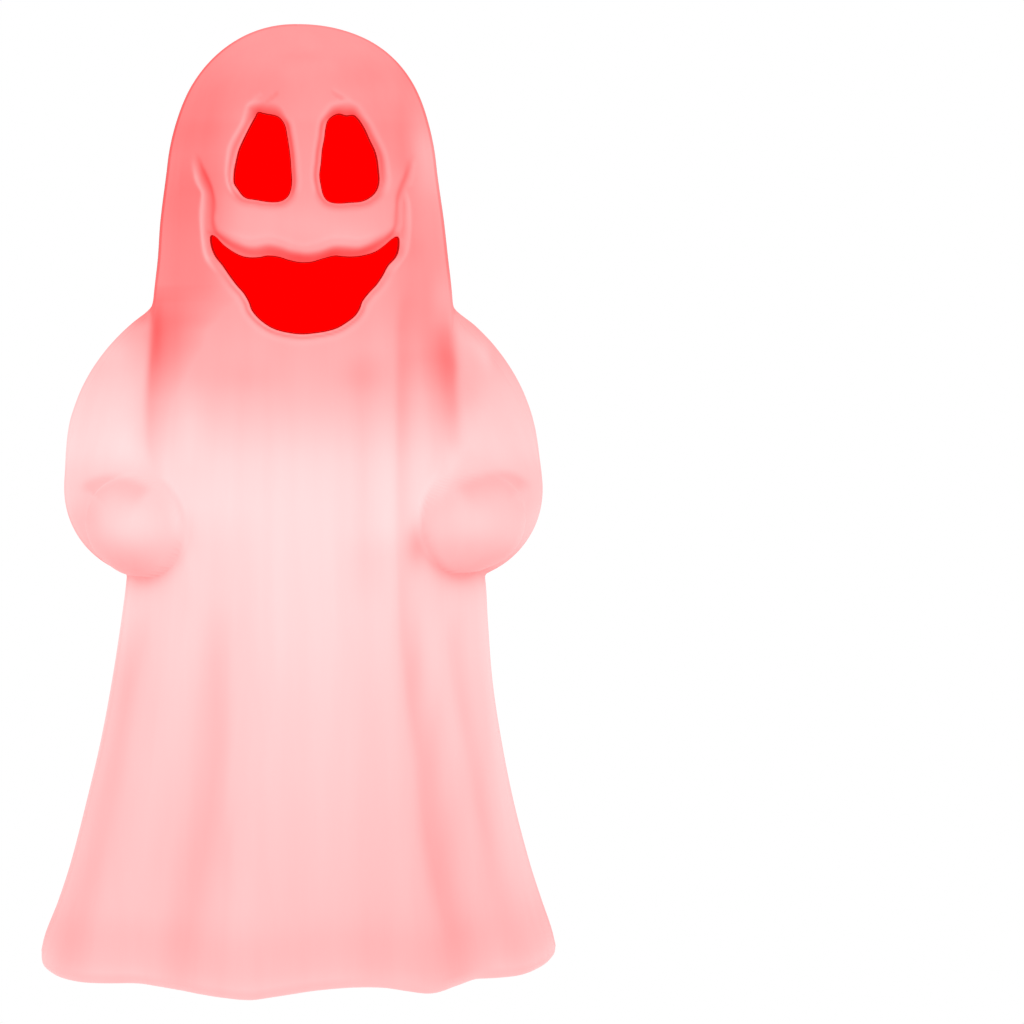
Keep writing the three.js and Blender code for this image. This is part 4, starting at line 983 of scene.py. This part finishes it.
    # beside the arms the inside follows the same field, so that it can't cross the wall
    P3 = np.stack([*surface(T2, Z2, WALL + 0.6), Z2], -1)
    held = (smoothstep(205, 235, Z2) * smoothstep(450, 432, Z2))[..., None]
    bx, by = to_px(P2[..., 0], P2[..., 1], P2[..., 2])
    low = (Z2 > ARM_LOW) & (Z2 < ARM_HIGH)
    arm_d = np.full(Z2.shape, 60.0)
    arm_d[low] = arm_distance(P2[low])
    a2 = np.arctan2(P2[..., 1], P2[..., 0])
    arm2 = smoothstep(-2.5, 3.5, np.hypot(P2[..., 0], P2[..., 1]) - column_radius(a2, Z2) - arm_d)
    near2 = P2[..., 1] < 5
    F2 = np.zeros(Z2.shape)
    F2[near2] = folds_height(bx[near2], by[near2]) * smoothstep(0.0, 0.3, -N2[..., 1][near2])
    F2 = (F2 + back_folds(a2, Z2, N2[..., 1])) * (1 - arm2)
    F2 = F2 + np.minimum(F2, 0) * 0.15 - 0.9 * (near2 & low & (arm2 > 0.1))
    face2 = near2 * smoothstep(85, 105, by) * smoothstep(352, 335, by) * smoothstep(190, 205, bx) * smoothstep(420, 405, bx)
    I2 = (P2 - N2 * WALL) * (1 - held) + P3 * held + N2 * (F2 - 1.9 * face2)[..., None]
    bx, by = to_px(I2[..., 0], I2[..., 1], I2[..., 2])
    D2 = np.full(bx.shape, 50.0)
    zone2 = (I2[..., 1] < 0) & (by > 90) & (by < 360) & (bx > 190) & (bx < 420)
    D2[zone2] = opening(bx[zone2], by[zone2]) - 1.6
    index2 = shape.add(I2).reshape(Z2.shape)
    faces2 = clip_grid(shape, I2, np.zeros(D2.shape), index2, D2, 1, True)
    pole2 = shape.add([[0, 0, HEIGHT - WALL]])[0]
    shape.faces([(pole2, index2[0, (j + 1) % ci], index2[0, j]) for j in range(ci)], 1)
    last = index2[-1]
    for inset, z in UNDER_IN:
        r = column_radius(t_in, np.full(ci, 8.0)) - inset
        ring = shape.add(np.stack([r * np.cos(t_in), r * np.sin(t_in), np.full(ci, z)], -1))
        shape.faces([(last[(j + 1) % ci], ring[(j + 1) % ci], ring[j], last[j]) for j in range(ci)], 1)
        last = ring
    for share in (0.5, 1.0):
        r0 = column_radius(t_in, np.full(ci, 8.0)) - UNDER_IN[-1][0]
        r = r0 + (hole(t_in) - r0) * share
        ring = shape.add(np.stack([r * np.cos(t_in), r * np.sin(t_in), np.full(ci, PANEL_Z + WALL)], -1))
        shape.faces([(last[(j + 1) % ci], ring[(j + 1) % ci], ring[j], last[j]) for j in range(ci)], 1)
        last = ring
    V = shape.points()
    # edge of the hole in the floor
    inner_edge = list(last)
    shape.faces(zip_loops(floor_edge, inner_edge, V[floor_edge], V[inner_edge]), 0)
    # --- cut edges of the eyes and the mouth
    outer_loops = [l for l in border_loops(faces) if V[l][:, 2].min() > 395 and V[l][:, 2].max() < 560 and len(l) > 20]
    inner_loops = [l for l in border_loops(faces2) if V[l][:, 2].min() > 395 and V[l][:, 2].max() < 560 and len(l) > 12]
    for loop in outer_loops:
        loop = loop[::-1]  # now the wall's faces turn into the hole
        p = V[loop]
        c = p.mean(axis=0)
        mate = min(inner_loops, key=lambda l: np.linalg.norm(V[l].mean(axis=0) - c))
        r = np.hypot(p[:, 0], p[:, 1])
        th = np.arctan2(p[:, 1], p[:, 0])
        e = 0.004
        a = np.stack([column_radius(th + e, p[:, 2]) * np.cos(th + e), column_radius(th + e, p[:, 2]) * np.sin(th + e), p[:, 2]], -1)
        b = np.stack([column_radius(th - e, p[:, 2]) * np.cos(th - e), column_radius(th - e, p[:, 2]) * np.sin(th - e), p[:, 2]], -1)
        up = np.stack([column_radius(th, p[:, 2] + 1) * np.cos(th), column_radius(th, p[:, 2] + 1) * np.sin(th), p[:, 2] + 1], -1)
        dn = np.stack([column_radius(th, p[:, 2] - 1) * np.cos(th), column_radius(th, p[:, 2] - 1) * np.sin(th), p[:, 2] - 1], -1)
        n = np.cross(a - b, up - dn)
        n /= np.linalg.norm(n, axis=1, keepdims=True)
        along = np.roll(p, -1, 0) - np.roll(p, 1, 0)
        for _ in range(2):
            along = (np.roll(along, 1, 0) + 2 * along + np.roll(along, -1, 0)) / 4
        into = np.cross(n, along)
        into /= np.maximum(np.linalg.norm(into, axis=1, keepdims=True), 1e-9)
        if ((p + into - c) ** 2).sum() > ((p - into - c) ** 2).sum():
            into = -into
        last = loop
        for slot, deep, inwards in ((0, 0.22, 0.2), (2, 0.6, 0.75), (2, 1.1, 1.1), (2, 1.8, 0.95)):
            ring = shape.add(p - n * deep + into * inwards, np.full(len(loop), 118.0))
            k = len(loop)
            shape.faces([(last[j], last[(j + 1) % k], ring[(j + 1) % k], ring[j]) for j in range(k)], slot)
            last = list(ring)
        V = shape.points()
        A, B = list(last), list(mate)
        if np.dot(np.cross(V[A[0]] - c, V[A[1]] - c), np.cross(V[B[0]] - c, V[B[1]] - c)) < 0:
            B = B[::-1]
        shape.faces(zip_loops(A, B, V[A], V[B]), 1)
    V = shape.points()
    mesh = bpy.data.meshes.new("ghost_body")
    mesh.from_pydata((V / 1000).tolist(), [], shape.f)
    mesh.polygons.foreach_set("material_index", shape.m)
    mesh.polygons.foreach_set("use_smooth", [True] * len(shape.f))
    light = to_light(np.concatenate(shape.level))
    # the base colour's green and blue follow the painted brightness: paler where the painted glow is bright, darker
    # where it is dim
    lit_paleness = np.clip((light - 0.02) / 0.25, 0.12, 1)
    glow = np.maximum(light - ROOM * lit_paleness, 0.002)
    mesh.attributes.new("lit_paleness", "FLOAT", "POINT").data.foreach_set("value", lit_paleness.astype(np.float32))
    # the inside and the edges of the openings have materials of their own, whose red glow is painted light
    mesh.attributes.new("glow", "FLOAT", "POINT").data.foreach_set("value", glow.astype(np.float32))
    tone = np.concatenate(shape.tone).astype(np.float32)
    mesh.attributes.new("tone", "FLOAT", "POINT").data.foreach_set("value", tone)
    mesh.validate()
    return mesh


# ------------------------------------------------------------------- materials
class Nodes:
    def __init__(self, name):
        self.mat = bpy.data.materials.new(name)
        self.mat.use_nodes = True
        self.t = self.mat.node_tree
        self.t.nodes.clear()
        self.out = self.t.nodes.new("ShaderNodeOutputMaterial")
        self.b = self.t.nodes.new("ShaderNodeBsdfPrincipled")
        self.t.links.new(self.b.outputs[0], self.out.inputs[0])

    def node(self, kind, **values):
        n = self.t.nodes.new(kind)
        for k, v in values.items():
            if hasattr(n, k) and k not in n.inputs:
                setattr(n, k, v)
            else:
                n.inputs[k].default_value = v
        return n

    def link(self, a, b):
        self.t.links.new(a, b)

    def set(self, **values):
        for k, v in values.items():
            self.b.inputs[k.replace("_", " ")].default_value = v
        return self


def coords(m, scale=(1, 1, 1)):
    tex = m.node("ShaderNodeTexCoord")
    mp = m.node("ShaderNodeMapping")
    mp.inputs["Scale"].default_value = scale
    m.link(tex.outputs["Object"], mp.inputs["Vector"])
    return mp.outputs["Vector"]


def noise(m, vec, scale, detail=3.0, rough=0.55):
    n = m.node("ShaderNodeTexNoise")
    n.inputs["Scale"].default_value = scale
    n.inputs["Detail"].default_value = detail
    n.inputs["Roughness"].default_value = rough
    m.link(vec, n.inputs["Vector"])
    return n.outputs["Fac"]


def ramp(m, value, stops):
    r = m.node("ShaderNodeValToRGB")
    while len(r.color_ramp.elements) < len(stops):
        r.color_ramp.elements.new(0.5)
    for e, (pos, col) in zip(r.color_ramp.elements, stops):
        e.position, e.color = pos, (*col, 1)
    m.link(value, r.inputs["Fac"])
    return r.outputs["Color"]


def span(m, value, lo, hi):
    r = m.node("ShaderNodeMapRange")
    r.inputs["To Min"].default_value, r.inputs["To Max"].default_value = lo, hi
    m.link(value, r.inputs["Value"])
    return r.outputs["Result"]


def bump(m, height, strength, distance):
    b = m.node("ShaderNodeBump")
    b.inputs["Strength"].default_value = strength
    b.inputs["Distance"].default_value = distance
    m.link(height, b.inputs["Height"])
    m.link(b.outputs["Normal"], m.b.inputs["Normal"])


def shell_material():
    m = Nodes("ghost_plastic")
    fine = noise(m, coords(m), 900, 2.0)
    streak = noise(m, coords(m, (1, 1, 0.09)), 60, 3.0)
    tone, lit_paleness = m.node("ShaderNodeAttribute", attribute_name="tone"), m.node("ShaderNodeAttribute", attribute_name="lit_paleness")
    share = m.node("ShaderNodeCombineXYZ")
    m.link(tone.outputs["Fac"], share.inputs[0])
    m.link(lit_paleness.outputs["Fac"], share.inputs[1])
    m.link(lit_paleness.outputs["Fac"], share.inputs[2])
    # the base colour is painted red, the white plastic as the red lamp inside lights it, dimmed by the painted outline
    # and the painted shade
    lamp_red_base = m.node("ShaderNodeVectorMath", operation="MULTIPLY")
    m.link(ramp(m, streak, [(0.3, (0.78, 0.150, 0.152)), (0.7, (0.80, 0.166, 0.168))]), lamp_red_base.inputs[0])
    m.link(share.outputs[0], lamp_red_base.inputs[1])
    m.link(lamp_red_base.outputs[0], m.b.inputs["Base Color"])
    m.link(span(m, fine, 0.46, 0.56), m.b.inputs["Roughness"])
    bump(m, fine, 0.12, 0.0004)
    m.set(Specular_IOR_Level=0.2, Emission_Strength=1.0)
    # the glow of the wall is painted light from the lamp inside
    a = m.node("ShaderNodeAttribute", attribute_name="glow")
    mul = m.node("ShaderNodeMath", operation="MULTIPLY")
    m.link(a.outputs["Fac"], mul.inputs[0])
    m.link(span(m, streak, 0.975, 1.025), mul.inputs[1])
    col = m.node("ShaderNodeCombineColor")
    red = m.node("ShaderNodeMapRange")
    red.inputs["To Max"].default_value = 1.15
    m.link(tone.outputs["Fac"], red.inputs["Value"])
    m.link(red.outputs["Result"], col.inputs["Red"])
    m.link(mul.outputs[0], col.inputs["Green"])
    m.link(mul.outputs[0], col.inputs["Blue"])
    m.link(col.outputs[0], m.b.inputs["Emission Color"])
    return m.mat


def inside_material():
    m = Nodes("ghost_inside")
    streak = noise(m, coords(m, (1, 1, 0.06)), 40, 2.0)
    # the inside wall, seen through the openings, is painted red with light from the lamp: a red base colour and a red
    # glow
    m.link(ramp(m, streak, [(0.3, (0.35, 0.0, 0.0)), (0.7, (0.42, 0.0, 0.0))]), m.b.inputs["Base Color"])
    m.link(ramp(m, streak, [(0.3, (1.0, 0.0, 0.0)), (0.7, (1.1, 0.0, 0.0))]), m.b.inputs["Emission Color"])
    m.set(Roughness=0.6, Specular_IOR_Level=0.0, Emission_Strength=1.0)
    return m.mat


def edge_material():
    m = Nodes("ghost_cut_edge")
    fine = noise(m, coords(m), 700, 2.0)
    # the cut edges are painted with a dim red glow from the lamp inside
    m.link(ramp(m, fine, [(0.3, (0.10, 0.002, 0.002)), (0.7, (0.14, 0.003, 0.003))]), m.b.inputs["Base Color"])
    m.link(ramp(m, fine, [(0.3, (0.38, 0.0, 0.0)), (0.7, (0.45, 0.001, 0.001))]), m.b.inputs["Emission Color"])
    m.link(span(m, fine, 0.5, 0.6), m.b.inputs["Roughness"])
    m.set(Specular_IOR_Level=0.1, Emission_Strength=1.0)
    return m.mat


def plastic(name, colour, rough=0.5, grain=700, dent=0.10):
    m = Nodes(name)
    n = noise(m, coords(m), grain, 3.0)
    dark = tuple(c * 0.955 for c in colour)
    m.link(ramp(m, n, [(0.3, dark), (0.7, colour)]), m.b.inputs["Base Color"])
    m.link(span(m, n, rough - 0.06, rough + 0.06), m.b.inputs["Roughness"])
    bump(m, n, dent, 0.0003)
    return m


def metal(name, colour, rough=0.3):
    m = Nodes(name)
    n = noise(m, coords(m, (1, 1, 12)), 500, 2.0)
    m.link(ramp(m, n, [(0.3, tuple(c * 0.9 for c in colour)), (0.7, colour)]), m.b.inputs["Base Color"])
    m.link(span(m, n, rough - 0.06, rough + 0.1), m.b.inputs["Roughness"])
    m.set(Metallic=1.0)
    bump(m, n, 0.08, 0.0002)
    return m


def glowing(name, colour, emission, strength):
    m = plastic(name, colour, 0.4, 400, 0.06)
    n = noise(m, coords(m), 90, 2.0)
    m.link(ramp(m, n, [(0.2, tuple(c * 0.93 for c in emission)), (0.8, emission)]), m.b.inputs["Emission Color"])
    m.set(Emission_Strength=strength)
    return m


def dress(names, material):
    for n in names:
        ob = NODES[n]
        ob.data.materials.clear()
        ob.data.materials.append(material)


# ------------------------------------------------------------------ the pieces
mesh = build_shell()
mesh.materials.append(shell_material())
mesh.materials.append(inside_material())
mesh.materials.append(edge_material())
body = bpy.data.objects.new("ghost_body", mesh)
scene.collection.objects.link(body)
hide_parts("ghost_shell")
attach(body, "ghost")



def build_pad(low, high):
    """A strip of foam: edges rounded over, its long sides a little pulled in, its top a
    little crowned, its skin open-pored."""
    x0, y0, z0 = low
    x1, y1, z1 = high
    cx, cy, hx, hy, t = (x0 + x1) / 2, (y0 + y1) / 2, (x1 - x0) / 2, (y1 - y0) / 2, z1 - z0
    n = 132
    r = 2.6
    loop = []
    for k in range(n):
        a = 2 * math.pi * k / n
        c, s = math.cos(a), math.sin(a)
        q = (abs(c) ** 9 + abs(s * 1.0) ** 9) ** (-1 / 9)
        u, w = c * q, s * q
        pull = 0.28 * (1 - u * u) * abs(w) ** 8 + 0.22 * (1 - w * w) * abs(u) ** 8
        loop.append((u, w, pull))
    rings = [(6.0, 0.0), (2.2, 0.0), (0.7, 0.0), (0.22, 0.10), (0.03, 0.28), (0.0, 0.5), (0.05, 0.70), (0.3, 0.86),
             (0.9, 0.93), (2.2, 0.96), (4.2, 0.98), (7.0, 1.0)]
    v, f = [], []
    for inset, up in rings:
        for k, (u, w, pull) in enumerate(loop):
            i = inset + pull
            x, y = cx + u * (hx - i), cy + w * (hy - i)
            pore = 0.05 * math.sin(x * 5.1 + 2 * math.sin(y * 3.3)) * math.sin(y * 4.7 + 1.4 * math.sin(x * 2.9))
            v.append((x, y, z0 + t * up + (pore - 0.05 if 0.2 < up else 0)))
    for j in range(len(rings) - 1):
        for k in range(n):
            a, b = j * n + k, j * n + (k + 1) % n
            f.append((a, b, b + n, a + n))
    v.append((cx, cy, z0))
    v.append((cx, cy, z1 - 0.05))
    last = (len(rings) - 1) * n
    for k in range(n):
        f.append((len(v) - 2, (k + 1) % n, k))
        f.append((len(v) - 1, last + k, last + (k + 1) % n))
    me = bpy.data.meshes.new("pad_foam")
    me.from_pydata([(a / 1000, b / 1000, c / 1000) for a, b, c in v], [], f)
    me.polygons.foreach_set("use_smooth", [True] * len(f))
    me.validate()
    return me


pad_points = [NODES["door_pad"].matrix_world @ v.co for v in NODES["door_pad"].data.vertices]
pad = bpy.data.objects.new("pad_foam", build_pad(
    [min(p[i] for p in pad_points) * 1000 for i in range(3)], [max(p[i] for p in pad_points) * 1000 for i in range(3)]
))
scene.collection.objects.link(pad)
foam = plastic("pad_foam", (0.09, 0.09, 0.095), 0.95, 1200, 0.6)
pad.data.materials.append(foam.mat)
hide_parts("door_pad")
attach(pad, "door")

WHITE = (0.80, 0.79, 0.77)
dress(["base_housing", "housing_cover", "mast_tube", "lamp_carrier"], plastic("housing_plastic", WHITE).mat)
dress(["battery_door"], plastic("door_plastic", WHITE, 0.5, 900).mat)
dress(["flange_gasket"], plastic("gasket_foam", (0.035, 0.035, 0.037), 0.9, 1500, 0.5).mat)
dress([n for n in NODES if "screw" in n], metal("zinc_screw", (0.62, 0.63, 0.65)).mat)
dress([n for n in NODES if n.startswith("contact_") or n.startswith("battery_spring")], metal("nickel_contact", (0.70, 0.69, 0.66), 0.22).mat)
dress(["switch_slider"], plastic("switch_black", (0.018, 0.018, 0.02), 0.45).mat)
dress(["switch_body"], metal("switch_can", (0.55, 0.56, 0.58), 0.3).mat)
dress(["control_board"], plastic("board_green", (0.02, 0.13, 0.05), 0.35, 200, 0.05).mat)
dress(["timer_chip"], plastic("chip_black", (0.02, 0.02, 0.022), 0.5).mat)
dress(["capacitor"], plastic("capacitor_sleeve", (0.02, 0.04, 0.11), 0.3).mat)
dress(["led_board"], plastic("led_board_white", (0.82, 0.81, 0.78), 0.4, 200, 0.05).mat)
dress([n for n in NODES if n.startswith("led_") and n != "led_board"], glowing("led_red", (0.8, 0.02, 0.01), (1.0, 0.03, 0.02), 2.0).mat)
dress(["lamp_diffuser"], glowing("diffuser_cap", (0.9, 0.5, 0.45), (1.0, 0.10, 0.07), 1.6).mat)
dress(["lead_positive", "lamp_lead_red"], plastic("lead_red", (0.42, 0.015, 0.01), 0.5).mat)
dress(["lead_negative", "lamp_lead_black"], plastic("lead_black", (0.015, 0.015, 0.015), 0.5).mat)
cell = plastic("cell_sleeve", (0.05, 0.055, 0.065), 0.3, 500, 0.03)
dress(["battery_1", "battery_2", "battery_3"], cell.mat)


# --------------------------------------------------------- floor, light, world
def add_floor():
    n, R = 96, 14.0
    rings = [0.0, 0.3, 0.6, 1.2, 2.5, 5.0, R]
    v, f = [(0, 0, 0)], []
    for r in rings[1:]:
        for k in range(n):
            a = 2 * math.pi * k / n
            v.append((r * math.cos(a), r * math.sin(a), 0))
    for k in range(n):
        f.append((0, 1 + k, 1 + (k + 1) % n))
    for i in range(len(rings) - 2):
        for k in range(n):
            a, b = 1 + i * n + k, 1 + i * n + (k + 1) % n
            f.append((a, a + n, b + n, b))
    me = bpy.data.meshes.new("floor")
    me.from_pydata(v, [], f)
    ob = bpy.data.objects.new("floor", me)
    ob.location.z = -0.0003
    scene.collection.objects.link(ob)
    m = bpy.data.materials.new("floor")
    m.use_nodes = True
    t = m.node_tree
    t.nodes.clear()
    out = t.nodes.new("ShaderNodeOutputMaterial")
    mix = t.nodes.new("ShaderNodeMixShader")
    dif = t.nodes.new("ShaderNodeBsdfDiffuse")
    dif.inputs["Color"].default_value = (0.86, 0.86, 0.86, 1)
    emi = t.nodes.new("ShaderNodeEmission")
    emi.inputs["Color"].default_value = (1, 1, 1, 1)
    geo = t.nodes.new("ShaderNodeNewGeometry")
    ln = t.nodes.new("ShaderNodeVectorMath")
    ln.operation = "LENGTH"
    mr = t.nodes.new("ShaderNodeMapRange")
    mr.interpolation_type = "SMOOTHSTEP"
    mr.inputs["From Min"].default_value = 0.12
    mr.inputs["From Max"].default_value = 0.55
    mr.inputs["To Min"].default_value = 1.0
    t.links.new(geo.outputs["Position"], ln.inputs[0])
    t.links.new(ln.outputs["Value"], mr.inputs["Value"])
    t.links.new(mr.outputs["Result"], mix.inputs["Fac"])
    t.links.new(dif.outputs[0], mix.inputs[1])
    t.links.new(emi.outputs[0], mix.inputs[2])
    t.links.new(mix.outputs[0], out.inputs[0])
    me.materials.append(m)


def add_world(strength):
    w = bpy.data.worlds.new("studio")
    w.use_nodes = True
    t = w.node_tree
    t.nodes.clear()
    out = t.nodes.new("ShaderNodeOutputWorld")
    see, lit = t.nodes.new("ShaderNodeBackground"), t.nodes.new("ShaderNodeBackground")
    see.inputs["Color"].default_value = (1, 1, 1, 1)
    lit.inputs["Color"].default_value = (1, 1, 1, 1)
    lit.inputs["Strength"].default_value = strength
    mix = t.nodes.new("ShaderNodeMixShader")
    path = t.nodes.new("ShaderNodeLightPath")
    t.links.new(path.outputs["Is Camera Ray"], mix.inputs["Fac"])
    t.links.new(lit.outputs[0], mix.inputs[1])
    t.links.new(see.outputs[0], mix.inputs[2])
    t.links.new(mix.outputs[0], out.inputs[0])
    scene.world = w


def add_area(name, place, aim, size, power):
    light = bpy.data.lights.new(name, "AREA")
    light.shape = "DISK"
    light.size = size
    light.energy = power
    ob = bpy.data.objects.new(name, light)
    ob.location = place
    d = np.array(aim) - np.array(place)
    ob.rotation_euler = Vector(d).to_track_quat("-Z", "Y").to_euler()
    scene.collection.objects.link(ob)


add_floor()
add_world(0.3)
add_area("key", (-0.5, -2.4, 1.5), (0, 0, 0.3), 1.4, 15)
add_area("top", (0.2, -0.3, 2.6), (0, 0, 0.2), 1.6, 12)
scene.view_settings.view_transform = "Standard"
